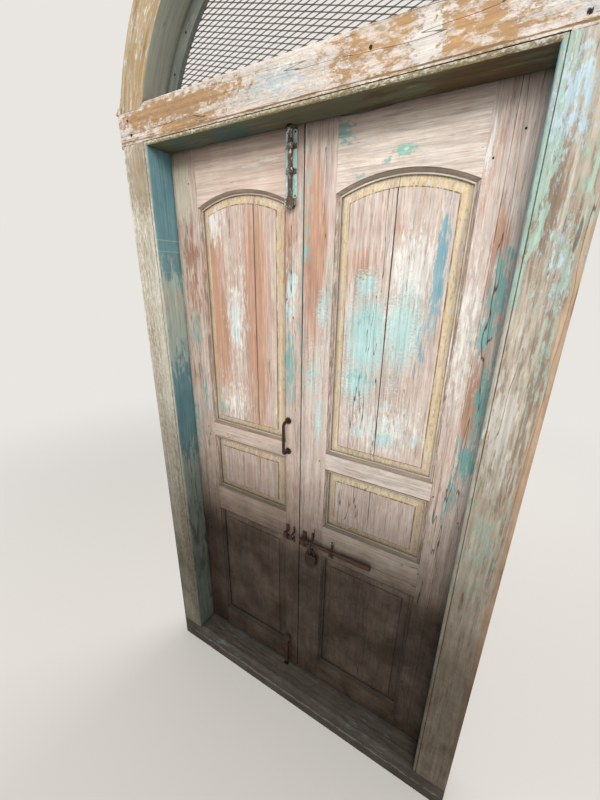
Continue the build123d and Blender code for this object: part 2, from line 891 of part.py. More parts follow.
def make_nails(node, places):
    # Nails through plates and feet, shown down to the timber's face.
    nails = []
    for x, z, thickness in places:
        with BuildPart() as nail:
            with BuildSketch(upright(leaf_front - thickness)):
                with Locations((x, z)):
                    RegularPolygon(clout_head_radius, head_sides)
            extrude(amount=clout_head_height, taper=head_taper)
            with Locations((x, leaf_front - thickness / 2, z)):
                Box(clout_shank_width, thickness, clout_shank_width)
        nails.append(nail.part)
    group(nails, node)


def make_rod():
    # The sliding rod: a thick cap at its left end and a sleeve on its right half.
    start = right_meeting - rod_entry + rod_travel
    end = start + rod_length
    with BuildPart() as rod:
        for low, high, radius in (
            (start, end, rod_radius),
            (start, start + rod_cap_length, rod_cap_radius),
            (end - rod_sleeve_length, end, rod_sleeve_radius),
        ):
            with BuildSketch(crosswise(low)):
                with Locations((rod_y, rod_z)):
                    Circle(radius)
            extrude(amount=high - low)
        ends = rod.edges().filter_by(GeomType.CIRCLE).sort_by(Axis.X)
        fillet([ends[0], ends[-1]], rod_cap_radius / 3)
    keep(rod.part, "sliding_rod")


def make_padlock():
    staple_x = right_meeting + staple_inset
    bar = staple_bar
    loop_front = rod_y - rod_cap_radius - loop_clearance - bar
    loop_bottom = rod_z - staple_drop
    loop_top = rod_z + rod_cap_radius + loop_clearance
    with BuildPart() as staple:
        with BuildSketch(crosswise(staple_x - bar / 2)):
            with Locations(((loop_front + leaf_front) / 2, (loop_bottom + loop_top) / 2)):
                RectangleRounded(leaf_front - loop_front, loop_top - loop_bottom + 2 * bar, bar)
            inner_width = leaf_front - loop_front - bar
            with Locations((leaf_front - inner_width / 2, (loop_bottom + loop_top) / 2)):
                Rectangle(inner_width, loop_top - loop_bottom, mode=Mode.SUBTRACT)
            with Locations((leaf_front - bar / 2, loop_top + (bar + staple_stem) / 2)):
                Rectangle(bar, bar + staple_stem)
        extrude(amount=bar)
    keep(staple.part, "padlock_staple")

    wire_z = loop_bottom + shackle_rest + shackle_wire
    centre_z = wire_z - shackle_radius
    lock_top = centre_z - shackle_leg
    pivot_z = lock_top - heel_depth
    shackle_y = leaf_front - shackle_standoff
    heel_x = staple_x - shackle_radius
    toe_x = staple_x + shackle_radius
    with BuildPart() as shackle:
        with BuildSketch(Plane.XY.offset(centre_z)):
            with Locations((heel_x, shackle_y)):
                Circle(shackle_wire)
        revolve(axis=Axis((staple_x, shackle_y, centre_z), (0, 1, 0)), revolution_arc=180)
        with BuildSketch(Plane.XY.offset(pivot_z)):
            with Locations((heel_x, shackle_y), (toe_x, shackle_y)):
                Circle(shackle_wire)
        extrude(amount=centre_z - pivot_z)
        with Locations((heel_x, shackle_y, pivot_z)):
            Cylinder(heel_eye_radius, 2 * (shackle_wire - heel_eye_flat), rotation=(90, 0, 0))
            Cylinder(
                lock_rivet_radius + pin_fit, 4 * shackle_wire, rotation=(90, 0, 0), mode=Mode.SUBTRACT
            )
    keep(shackle.part, "shackle")

    lock_bottom = lock_top - lock_height
    shoulder_z = lock_top - lock_shoulder
    left, right = staple_x - lock_width / 2, staple_x + lock_width / 2
    slot = shackle_wire + slot_clearance
    slot_right = heel_x + heel_eye_radius + slot_clearance
    slot_bottom = pivot_z - heel_eye_radius - slot_clearance
    with BuildPart() as lock:
        with BuildSketch(upright(shackle_y + lock_thickness / 2)):
            with BuildLine():
                Polyline((left, shoulder_z), (left, lock_top), (right, lock_top), (right, shoulder_z))
                ThreePointArc((left, shoulder_z), (staple_x, lock_bottom), (right, shoulder_z))
            make_face()
        extrude(amount=lock_thickness)
        chamfer(lock.edges().filter_by(Axis.Y, reverse=True), lock_bevel)
        slot_left = left - lock_bevel
        slot_top = lock_top + lock_bevel
        with Locations(((slot_left + slot_right) / 2, shackle_y, (slot_top + slot_bottom) / 2)):
            Box(slot_right - slot_left, 2 * slot, slot_top - slot_bottom, mode=Mode.SUBTRACT)
        with Locations((toe_x, shackle_y, lock_top)):
            Box(
                2 * (shackle_wire + toe_clearance),
                2 * slot,
                2 * (heel_depth + slot_clearance),
                mode=Mode.SUBTRACT,
            )
        with Locations((heel_x, shackle_y, pivot_z)):
            Cylinder(lock_rivet_radius, lock_thickness + 2 * lock_rivet_head, rotation=(90, 0, 0))
    keep(lock.part, "padlock_case")


def make_pull_handle():
    x = left_meeting - pull_inset
    z = sill_top + pull_level
    high, low = z + pull_reach / 2, z - pull_reach / 2
    near, far = leaf_front - pull_rose_thickness / 2, leaf_front - pull_standoff
    with BuildPart() as pull:
        with BuildLine(crosswise(x)):
            FilletPolyline((near, high), (far, high), (far, low), (near, low), radius=pull_corner)
        with BuildSketch(upright(near)):
            with Locations((x, high)):
                Circle(pull_bar_radius)
        sweep()
        with BuildSketch(upright(leaf_front)):
            with Locations((x, high), (x, low)):
                Circle(pull_rose_radius)
        extrude(amount=pull_rose_thickness)
    keep(pull.part, "pull_handle")


make_jamb(-1, "left_jamb")
make_jamb(1, "right_jamb")
make_beam()
make_sill()
make_arch_leg(-1, "arch_left")
make_arch_leg(1, "arch_right")
make_arch_crown()
make_strips()
make_mesh()
make_strip_nails()

make_leaf(
    "left",
    left_hinge_stile_width,
    left_meeting_stile_width,
    left_bottom_panel_height,
    left_board_share,
)
make_leaf(
    "right",
    right_hinge_stile_width,
    right_meeting_stile_width,
    right_bottom_panel_height,
    right_board_share,
)

hinge_heights = (lower_hinge_z, (lower_hinge_z + upper_hinge_z) / 2, upper_hinge_z)
pins = []
for hinge_side, hinge_side_name in ((-1, "left"), (1, "right")):
    for hinge_z, hinge_level_name in zip(hinge_heights, ("lower", "middle", "upper")):
        pins.append(make_hinge(hinge_side, hinge_side_name, hinge_z, hinge_level_name))
group(pins, "hinge_pins")

bolt_nails = make_leaf_bolts()
keeper_places = [left_meeting - inset for inset in keeper_insets]
guide_places = [right_meeting + inset for inset in guide_insets]
keeper_nails = make_rod_loops("rod_keepers", keeper_places, keeper_widths)
guide_nails = make_rod_loops("rod_guides", guide_places, guide_widths)
make_nails("left_leaf_nails", bolt_nails + keeper_nails)
make_nails("right_leaf_nails", guide_nails)
make_rod()
make_padlock()
make_pull_handle()
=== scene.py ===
import json
import math

import bmesh
import bpy
from mathutils import Matrix, Vector, noise


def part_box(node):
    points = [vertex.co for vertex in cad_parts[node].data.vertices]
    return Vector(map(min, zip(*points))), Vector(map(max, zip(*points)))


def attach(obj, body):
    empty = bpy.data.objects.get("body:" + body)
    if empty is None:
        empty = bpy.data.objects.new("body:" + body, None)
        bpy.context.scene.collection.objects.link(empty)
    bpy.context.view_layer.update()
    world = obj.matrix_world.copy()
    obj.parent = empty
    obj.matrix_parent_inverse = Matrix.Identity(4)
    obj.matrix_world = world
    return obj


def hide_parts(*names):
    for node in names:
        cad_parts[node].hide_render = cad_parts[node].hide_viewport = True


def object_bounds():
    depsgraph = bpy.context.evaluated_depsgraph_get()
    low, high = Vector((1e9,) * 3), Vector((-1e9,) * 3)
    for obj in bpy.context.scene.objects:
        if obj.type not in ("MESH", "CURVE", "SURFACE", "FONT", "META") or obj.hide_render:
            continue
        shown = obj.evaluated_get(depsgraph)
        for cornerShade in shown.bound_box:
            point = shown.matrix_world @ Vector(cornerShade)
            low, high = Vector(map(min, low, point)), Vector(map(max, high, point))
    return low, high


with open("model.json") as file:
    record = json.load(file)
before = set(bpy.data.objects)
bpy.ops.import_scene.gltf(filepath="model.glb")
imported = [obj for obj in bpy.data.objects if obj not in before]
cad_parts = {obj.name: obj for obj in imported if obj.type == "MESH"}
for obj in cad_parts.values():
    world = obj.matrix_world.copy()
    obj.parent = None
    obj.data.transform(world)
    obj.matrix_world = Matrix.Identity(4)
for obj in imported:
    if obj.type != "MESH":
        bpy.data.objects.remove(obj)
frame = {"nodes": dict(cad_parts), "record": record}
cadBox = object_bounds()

mm = 0.001
nodes = frame["nodes"]
bodyOf = {node: body for body, held in frame["record"]["behaviour"]["bodies"].items() for node in held}
slotOf = {part["node"]: part["material_slot"] for part in frame["record"]["subparts"]}
archCentre = 1.973  # height of the arch's centre in metres
scene = bpy.context.scene

# Settings of the nodes that lay one colour over another
mix = {"data_type": "RGBA"}
multiply = {"data_type": "RGBA", "blend_type": "MULTIPLY"}


def linear(code):
    channels = [int(code[n:n + 2], 16) / 255 for n in (0, 2, 4)]
    return [c / 12.92 if c <= 0.04045 else ((c + 0.055) / 1.055) ** 2.4 for c in channels] + [1]


def addNode(tree, kind, inputs=None, **settings):
    node = tree.nodes.new("ShaderNode" + kind)
    for name, value in settings.items():
        setattr(node, name, value)
    for key, value in (inputs or {}).items():
        if isinstance(value, bpy.types.NodeSocket):
            tree.links.new(value, node.inputs[key])
        else:
            node.inputs[key].default_value = value
    return node.outputs


def newMaterial(name):
    material = bpy.data.materials.new(name)
    material.use_nodes = True
    material.node_tree.nodes.clear()
    return material, material.node_tree


def newGroup(name, inputs, outputs):
    tree = bpy.data.node_groups.new(name, "ShaderNodeTree")
    for label, kind in inputs:
        tree.interface.new_socket(label, in_out="INPUT", socket_type="NodeSocket" + kind)
    for label, kind in outputs:
        tree.interface.new_socket(label, in_out="OUTPUT", socket_type="NodeSocket" + kind)
    return tree, tree.nodes.new("NodeGroupInput").outputs, tree.nodes.new("NodeGroupOutput").inputs


# Camera at the photographer's eye, looking down at the door from its right
view = {"place": (0.5155, -0.8811, 1.6936), "turn": 0.5332, "dip": -0.3447, "roll": -0.0128, "lens": 15.8625}

camera = bpy.data.objects.new("camera", bpy.data.cameras.new("camera"))
camera.data.lens = view["lens"]
camera.data.sensor_width = 36
camera.matrix_world = (Matrix.Translation(view["place"]) @ Matrix.Rotation(view["turn"], 4, "Z")
                       @ Matrix.Rotation(view["dip"], 4, "X") @ Matrix.Rotation(view["roll"], 4, "Y")
                       @ Matrix.Rotation(math.pi / 2, 4, "X"))
scene.collection.objects.link(camera)
scene.camera = camera
scene.view_settings.view_transform = "Standard"

studio = {
    "world": 0.44, "backdrop": "E9E6E1", "floor": "D9D5CF",
    "floorRadius": 14, "floorGap": 0.0005, "fadeFrom": 1.0, "fadeTo": 4.5,  # metres
    "aim": (0, 0, 1.3),
    "lamps": {"keyLight": ((1.3, -2.9, 4.2), 150, 2.2), "fillLight": ((-3.2, -2.2, 1.6), 36, 2.2),
              "backLight": ((0.8, 3.4, 3.2), 90, 2.6)},  # place, watts, size
}

for name, (place, power, size) in studio["lamps"].items():
    light = bpy.data.lights.new(name, "AREA")
    light.energy, light.size = power, size
    lamp = bpy.data.objects.new(name, light)
    aim = Vector(studio["aim"]) - Vector(place)
    lamp.matrix_world = Matrix.Translation(place) @ aim.to_track_quat("-Z", "Y").to_matrix().to_4x4()
    scene.collection.objects.link(lamp)

world = bpy.data.worlds.new("studio")
scene.world = world
world.use_nodes = True
tree = world.node_tree
tree.nodes.clear()
rays = addNode(tree, "LightPath")
seen = addNode(tree, "Math", {0: rays["Is Camera Ray"], 1: rays["Is Glossy Ray"]}, operation="MAXIMUM")
seen = addNode(tree, "Math", {0: seen[0], 1: rays["Is Transmission Ray"]}, operation="MAXIMUM")
ambient = addNode(tree, "Background", {"Color": (1, 1, 1, 1), "Strength": studio["world"]})
backdrop = addNode(tree, "Background", {"Color": linear(studio["backdrop"]), "Strength": 1})
sky = addNode(tree, "MixShader", {0: seen[0], 1: ambient[0], 2: backdrop[0]})
addNode(tree, "OutputWorld", {0: sky[0]})

bm = bmesh.new()
bmesh.ops.create_circle(bm, cap_ends=True, segments=96, radius=studio["floorRadius"])
bmesh.ops.translate(bm, verts=bm.verts, vec=(0, 0, cadBox[0].z - studio["floorGap"]))
floorMesh = bpy.data.meshes.new("floor")
bm.to_mesh(floorMesh)
bm.free()
floor = bpy.data.objects.new("floor", floorMesh)
scene.collection.objects.link(floor)

# Painted studio floor, matt, running into the backdrop's colour far from the door
floorPaint, tree = newMaterial("mattStudioFloor")
place = addNode(tree, "TexCoord")["Object"]
away = addNode(tree, "VectorMath", {0: place}, operation="LENGTH")["Value"]
away = addNode(tree, "MapRange", {0: away, 1: studio["fadeFrom"], 2: studio["fadeTo"]},
               interpolation_type="SMOOTHSTEP")[0]
near = addNode(tree, "BsdfDiffuse", {"Color": linear(studio["floor"])})
far = addNode(tree, "Emission", {"Color": linear(studio["backdrop"])})
mixed = addNode(tree, "MixShader", {0: away, 1: near[0], 2: far[0]})
addNode(tree, "OutputMaterial", {0: mixed[0]})
floorMesh.materials.append(floorPaint)
print("studio ready")

# Flakes of paint: a ragged mask whose cover follows Bias, with flakes Size millimetres across,
# drawn out along the grain
flaking = {"detail": 5.0, "roughness": 0.68, "spread": 4.0, "seedStep": 7.31}

flakes, given, result = newGroup("paintFlakes", [("Point", "Vector"), ("Size", "Float"), ("Stretch", "Float"),
                                                 ("Bias", "Float"), ("Sharp", "Float"), ("Seed", "Float")],
                                 [("Mask", "Float")])
across = addNode(flakes, "Math", {0: 1000.0, 1: given["Size"]}, operation="DIVIDE")[0]
along = addNode(flakes, "Math", {0: across, 1: given["Stretch"]}, operation="DIVIDE")[0]
scale = addNode(flakes, "CombineXYZ", {0: across, 1: across, 2: along})[0]
shift = addNode(flakes, "Math", {0: given["Seed"], 1: flaking["seedStep"]}, operation="MULTIPLY")[0]
shift = addNode(flakes, "CombineXYZ", {0: shift, 1: shift, 2: shift})[0]
where = addNode(flakes, "VectorMath", {0: given["Point"], 1: scale, 2: shift}, operation="MULTIPLY_ADD")
big = addNode(flakes, "TexNoise", {"Vector": where[0], "Scale": 1.0, "Detail": flaking["detail"],
                                   "Roughness": flaking["roughness"]})
value = addNode(flakes, "Math", {0: big[0], 1: flaking["spread"], 2: -flaking["spread"] / 2},
                operation="MULTIPLY_ADD")[0]
value = addNode(flakes, "Math", {0: value, 1: given["Bias"]}, operation="ADD")[0]
value = addNode(flakes, "Math", {0: value, 1: given["Sharp"], 2: 0.5}, operation="MULTIPLY_ADD", use_clamp=True)
flakes.links.new(value[0], result[0])

# Old timber along Z: growth streaks about 9 mm apart, fibres about 2 mm, and long drying cracks,
# all in repeats to a metre
grains = {"streaks": (110, 110, 3.2), "fibres": (420, 420, 16), "cracks": (26, 26, 1.5),
          "streakShare": 0.65, "fibreShare": 0.35, "crackLevel": 0.56, "crackHalf": 0.0012, "crackFade": 0.0048,
          "crackMost": 0.85}

timber, given, result = newGroup("oldTimber", [("Point", "Vector"), ("Dark", "Color"), ("Middle", "Color"),
                                               ("Light", "Color")],
                                 [("Color", "Color"), ("Height", "Float"), ("Crack", "Float")])
streakMap = addNode(timber, "Mapping", {"Vector": given["Point"], "Scale": grains["streaks"]})
streak = addNode(timber, "TexNoise", {"Vector": streakMap[0], "Scale": 1.0, "Detail": 4.0, "Roughness": 0.6,
                                      "Distortion": 0.3})
fibreMap = addNode(timber, "Mapping", {"Vector": given["Point"], "Scale": grains["fibres"]})
fibre = addNode(timber, "TexNoise", {"Vector": fibreMap[0], "Scale": 1.0, "Detail": 2.0})
crackMap = addNode(timber, "Mapping", {"Vector": given["Point"], "Location": (3, 1, 5),
                                       "Scale": grains["cracks"]})
crack = addNode(timber, "TexNoise", {"Vector": crackMap[0], "Scale": 1.0, "Detail": 3.0, "Roughness": 0.5})
band = addNode(timber, "Math", {0: crack[0], 1: grains["crackLevel"]}, operation="SUBTRACT")[0]
band = addNode(timber, "Math", {0: band}, operation="ABSOLUTE")[0]
band = addNode(timber, "MapRange", {0: band, 1: grains["crackHalf"], 2: grains["crackFade"],
                                    3: grains["crackMost"], 4: 0.0})[0]
sparse = addNode(timber, "TexNoise", {"Vector": crackMap[0], "Scale": 0.45, "Detail": 1.0})[0]
sparse = addNode(timber, "MapRange", {0: sparse, 1: 0.52, 2: 0.62, 3: 0.12, 4: 1.0})[0]
band = addNode(timber, "Math", {0: band, 1: sparse}, operation="MULTIPLY")[0]
tone = addNode(timber, "Math", {0: streak[0], 1: grains["streakShare"]}, operation="MULTIPLY")[0]
tone = addNode(timber, "Math", {0: fibre[0], 1: grains["fibreShare"], 2: tone}, operation="MULTIPLY_ADD")[0]
darker = addNode(timber, "MapRange", {0: tone, 1: 0.32, 2: 0.52})[0]
lighter = addNode(timber, "MapRange", {0: tone, 1: 0.5, 2: 0.68})[0]
colour = addNode(timber, "Mix", {0: darker, 6: given["Dark"], 7: given["Middle"]}, **mix)[2]
colour = addNode(timber, "Mix", {0: lighter, 6: colour, 7: given["Light"]}, **mix)[2]
timber.links.new(colour, result[0])
timber.links.new(tone, result[1])
timber.links.new(band, result[2])


# What wear does to every timber, and the painted shade and shadows laid on it; a zone is how squarely a face
# looks to the front, 1 being square on
ageingAndShade = {"mould": (0.755, 0.16), "slope": (0.96, 0.02), "rimDepth": 30.7, "rimWide": 0.5,
          "bare": -1.1, "patchReach": 1.2, "patchMargin": (20, 40), "edgeFade": 40, "archGrain": 0.57,
          # painted shadow of the head beam at the leaves' tops
          "beamShadowHigh": 55, "beamShadowTone": "5E4434", "beamShadowMost": 0.75,
          # painted cast-shadow edge low on the leaves, with grime
          "lowShadowAndGrimeHigh": 90, "lowShadowAndGrimeTone": "6E5B49", "lowShadowAndGrimeMost": 0.55,
          "crackTone": "3A2B20", "crackSunk": -0.8, "seamWide": 14, "seamShade": 0.30, "relief": 1.2}


def paintedTimber(name, look, users):
    # Distempered and oil-painted hardwood, scraped and weathered: matt, chalky, the grain showing through
    boxes = [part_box(node) for node in users]
    material, tree = newMaterial(name)
    point = addNode(tree, "TexCoord")["Object"]
    # The face's own direction, carried back to the rest position so that nothing slides when a leaf turns
    normal = addNode(tree, "NewGeometry")["True Normal"]
    normal = addNode(tree, "VectorTransform", {0: normal}, vector_type="NORMAL", convert_from="WORLD",
                     convert_to="OBJECT")[0]
    spot = addNode(tree, "SeparateXYZ", {0: point})
    facing = addNode(tree, "SeparateXYZ", {0: normal})
    frontness = addNode(tree, "Math", {0: facing[1], 1: -1.0}, operation="MULTIPLY")[0]
    if look["grain"] == "level":
        grain = addNode(tree, "CombineXYZ", {0: spot[2], 1: spot[1], 2: spot[0]})[0]
    elif look["grain"] == "round":
        rise = addNode(tree, "Math", {0: spot[2], 1: archCentre}, operation="SUBTRACT")[0]
        flat = addNode(tree, "CombineXYZ", {0: spot[0], 2: rise})[0]
        radius = addNode(tree, "VectorMath", {0: flat}, operation="LENGTH")["Value"]
        angle = addNode(tree, "Math", {0: spot[0], 1: rise}, operation="ARCTAN2")[0]
        arc = addNode(tree, "Math", {0: angle, 1: ageingAndShade["archGrain"]}, operation="MULTIPLY")[0]
        grain = addNode(tree, "CombineXYZ", {0: radius, 1: spot[1], 2: arc})[0]
        inward = addNode(tree, "VectorMath", {0: flat, 1: normal}, operation="DOT_PRODUCT")["Value"]
    else:
        grain = point
    aside = addNode(tree, "Math", {0: facing[0]}, operation="ABSOLUTE")[0]
    zones = {
        "all": 1.0,
        "face": addNode(tree, "MapRange", {0: frontness, 1: 0.45, 2: 0.6})[0],
        "mould": addNode(tree, "Math", {0: frontness, 1: ageingAndShade["mould"][0], 2: ageingAndShade["mould"][1]},
                         operation="COMPARE")[0],
        "slope": addNode(tree, "Math", {0: frontness, 1: ageingAndShade["slope"][0], 2: ageingAndShade["slope"][1]},
                         operation="COMPARE")[0],
        "side": addNode(tree, "MapRange", {0: aside, 1: 0.6, 2: 0.8})[0],
        "under": addNode(tree, "MapRange", {0: facing[2], 1: -0.6, 2: -0.8})[0],
    }
    if look["grain"] == "round":
        zones["soffit"] = addNode(tree, "MapRange", {0: inward, 1: -0.2, 2: -0.3})[0]
    # The fielded panels' inner arris, where the bevel starts
    rim = addNode(tree, "Math", {0: spot[1], 1: ageingAndShade["rimDepth"] * mm, 2: ageingAndShade["rimWide"] * mm},
                  operation="COMPARE")[0]
    zones["rim"] = addNode(tree, "Math", {0: rim, 1: zones["slope"]}, operation="MULTIPLY")[0]
    dark, middle, light = look["timber"]
    wood = {0: grain, 1: linear(dark), 2: linear(middle), 3: linear(light)}
    colour, grained, crack = addNode(tree, "Group", wood, node_tree=timber)
    height = grained
    blotch = addNode(tree, "TexNoise", {"Vector": grain, "Scale": 11.0, "Detail": 5.0, "Roughness": 0.65})[0]
    blotch = addNode(tree, "MapRange", {0: blotch, 1: 0.38, 2: 0.62})[0]
    for n, coat in enumerate(look["coats"]):
        if coat.get("part", "") not in name:
            continue
        bias = coat.get("cover", ageingAndShade["bare"])
        kept = 0.0
        for low, high, bottom, top, strength in coat.get("places", []):
            beside, above = ageingAndShade["patchMargin"]
            if not any(low < edges[1].x / mm + beside and high > edges[0].x / mm - beside
                       and bottom < edges[1].z / mm + above and top > edges[0].z / mm - above
                       for edges in boxes):
                continue
            # A patch is full at its middle and gone patchReach widths out
            reach = ageingAndShade["patchReach"] * mm
            size = Vector((1 / (reach * (high - low)), 0, 1 / (reach * (top - bottom))))
            middle = Vector((-(low + high) / 2 * mm * size.x, 0, -(bottom + top) / 2 * mm * size.z))
            apart = addNode(tree, "VectorMath", {0: point, 1: size, 2: middle}, operation="MULTIPLY_ADD")[0]
            apart = addNode(tree, "VectorMath", {0: apart}, operation="LENGTH")["Value"]
            apart = addNode(tree, "Math", {0: apart, 1: -strength, 2: strength}, operation="MULTIPLY_ADD")[0]
            kept = addNode(tree, "Math", {0: apart, 1: kept}, operation="MAXIMUM")[0]
        if kept:
            bias = addNode(tree, "Math", {0: kept, 1: coat.get("gain", 2.2), 2: bias},
                           operation="MULTIPLY_ADD")[0]
        stretch = coat.get("stretch", 1)
        cover = addNode(tree, "Group", {
            0: point if stretch == 1 else grain, 1: coat["flake"], 2: stretch, 3: bias,
                                        4: coat.get("sharp", 2.4),
            5: n + look.get("seed", 1)}, node_tree=flakes)[0]
        zone = zones[coat.get("zone", "face")]
        if isinstance(zone, bpy.types.NodeSocket):
            cover = addNode(tree, "Math", {0: cover, 1: zone}, operation="MULTIPLY")[0]
        if "above" in coat:
            clear = addNode(tree, "MapRange", {0: spot[2], 1: (coat["above"] - ageingAndShade["edgeFade"]) * mm,
                                               2: (coat["above"] + ageingAndShade["edgeFade"]) * mm})[0]
            cover = addNode(tree, "Math", {0: cover, 1: clear}, operation="MULTIPLY")[0]
        if coat.get("opaque", 1) != 1:
            cover = addNode(tree, "Math", {0: cover, 1: coat["opaque"]}, operation="MULTIPLY")[0]
        paint = addNode(tree, "Mix", {0: blotch, 6: linear(coat["tones"][0]), 7: linear(coat["tones"][1])},
                        **mix)[2]
        colour = addNode(tree, "Mix", {0: cover, 6: colour, 7: paint}, **mix)[2]
        height = addNode(tree, "Math", {0: cover, 1: coat.get("thick", 0.25), 2: height},
                         operation="MULTIPLY_ADD")[0]
    # The grain and the handling still show through every coat
    shade = addNode(tree, "MapRange", {0: grained, 1: 0.36, 2: 0.62, 3: 0.70, 4: 1.08})[0]
    colour = addNode(tree, "Mix", {0: 1.0, 6: colour, 7: shade}, **multiply)[2]
    colour = addNode(tree, "Mix", {0: crack, 6: colour, 7: linear(ageingAndShade["crackTone"])}, **mix)[2]
    # Painted shadow and grime together: darker towards the bottom, mottled by noise
    grimeAndShade = look.get("grimeAndShade")
    if grimeAndShade:
        low = addNode(tree, "MapRange", {0: spot[2], 1: grimeAndShade["clean"] * mm, 2: grimeAndShade["full"] * mm,
                                         4: grimeAndShade["most"]}, interpolation_type="SMOOTHSTEP")[0]
        spread = addNode(tree, "TexNoise", {"Vector": grain, "Scale": 6.0, "Detail": 6.0, "Roughness": 0.7})[0]
        spread = addNode(tree, "MapRange", {0: spread, 1: 0.35, 2: 0.65, 3: 0.9, 4: 1.04})[0]
        low = addNode(tree, "Math", {0: low, 1: spread}, operation="MULTIPLY")[0]
        colour = addNode(tree, "Mix", {0: low, 6: colour, 7: linear(grimeAndShade["tone"])}, **multiply)[2]
        # Painted shadow of the head beam across the leaves' tops
        if "beamShadow" in grimeAndShade:
            top = addNode(tree, "MapRange", {0: spot[2], 1: (grimeAndShade["beamShadow"] - ageingAndShade["beamShadowHigh"]) * mm,
                                             2: grimeAndShade["beamShadow"] * mm, 4: ageingAndShade["beamShadowMost"]})[0]
            colour = addNode(tree, "Mix", {0: top, 6: colour, 7: linear(ageingAndShade["beamShadowTone"])}, **multiply)[2]
        # Painted cast-shadow edge low on the leaves, with grime
        if "lowShadowAndGrime" in grimeAndShade:
            shadowAndGrime = addNode(tree, "MapRange", {0: spot[2], 1: grimeAndShade["lowShadowAndGrime"] * mm, 4: ageingAndShade["lowShadowAndGrimeMost"],
                                             2: (grimeAndShade["lowShadowAndGrime"] - ageingAndShade["lowShadowAndGrimeHigh"]) * mm})[0]
            shadowAndGrime = addNode(tree, "Math", {0: shadowAndGrime, 1: spread}, operation="MULTIPLY")[0]
            colour = addNode(tree, "Mix", {0: shadowAndGrime, 6: colour, 7: linear(ageingAndShade["lowShadowAndGrimeTone"])}, **multiply)[2]
    # Painted shade in seams, quirks and corners, from ambient occlusion, standing also for the soot and dust
    # packed there
    cornerShade = addNode(tree, "AmbientOcclusion", {"Distance": ageingAndShade["seamWide"] * mm}, samples=3)["AO"]
    cornerShade = addNode(tree, "MapRange", {0: cornerShade, 1: 0.25, 2: 0.85, 3: ageingAndShade["seamShade"]})[0]
    colour = addNode(tree, "Mix", {0: 1.0, 6: colour, 7: cornerShade}, **multiply)[2]
    height = addNode(tree, "Math", {0: crack, 1: ageingAndShade["crackSunk"], 2: height}, operation="MULTIPLY_ADD")[0]
    bump = addNode(tree, "Bump", {"Strength": 1.0, "Distance": look.get("relief", ageingAndShade["relief"]) * mm,
                                  "Height": height})[0]
    rough = addNode(tree, "MapRange", {0: blotch, 3: 0.62, 4: 0.85})[0]
    surface = addNode(tree, "BsdfPrincipled", {"Base Color": colour, "Roughness": rough, "Normal": bump,
                                               "Specular IOR Level": 0.3})
    addNode(tree, "OutputMaterial", {0: surface[0]})
    return material


leafTimber = ("6E4A38", "96705A", "B8977F")
rust = ("B07A5C", "C39270")
white = ("E8E3DB", "DCD6CE")
turquoise = ("A4D5D5", "C3E2DE")
# Leaves darker towards the bottom, painted shadow and grime together; a painted shadow of the head beam along
# their tops; a painted cast-shadow edge, with grime, at 775 mm
leafGrimeAndShade = {"clean": 1280, "full": 640, "most": 0.98, "tone": "453821", "lowShadowAndGrime": 775, "beamShadow": 2041}
scrapes = {"tones": ("96694F", "A97D63"), "flake": 3.4, "stretch": 15, "sharp": 1.8, "opaque": 0.62,
           "thick": -0.2}
boardJoint = {"tones": ("54443A", "665548"), "part": "Panel", "flake": 6, "stretch": 20, "gain": 2.9,
              "sharp": 5,
              "thick": -0.5}

# The fielded panels' bevels: ochre and cream worn off the coat under them, and a dark line at the inner arris
bevelCoats = [
    {"tones": ("9C7D55", "B09468"), "zone": "slope", "part": "Panel", "above": 830, "flake": 5,
     "stretch": 3, "cover": -0.35, "sharp": 2, "opaque": 0.65},
    {"tones": ("D6CABD", "CDBFB0"), "zone": "slope", "part": "Panel", "above": 830, "flake": 5,
     "stretch": 7, "cover": -0.3, "sharp": 2, "opaque": 0.8},
    {"tones": ("6A4C34", "7C5C40"), "zone": "rim", "part": "Panel", "flake": 7, "stretch": 8,
     "cover": 0.15, "sharp": 2, "opaque": 0.8},
]

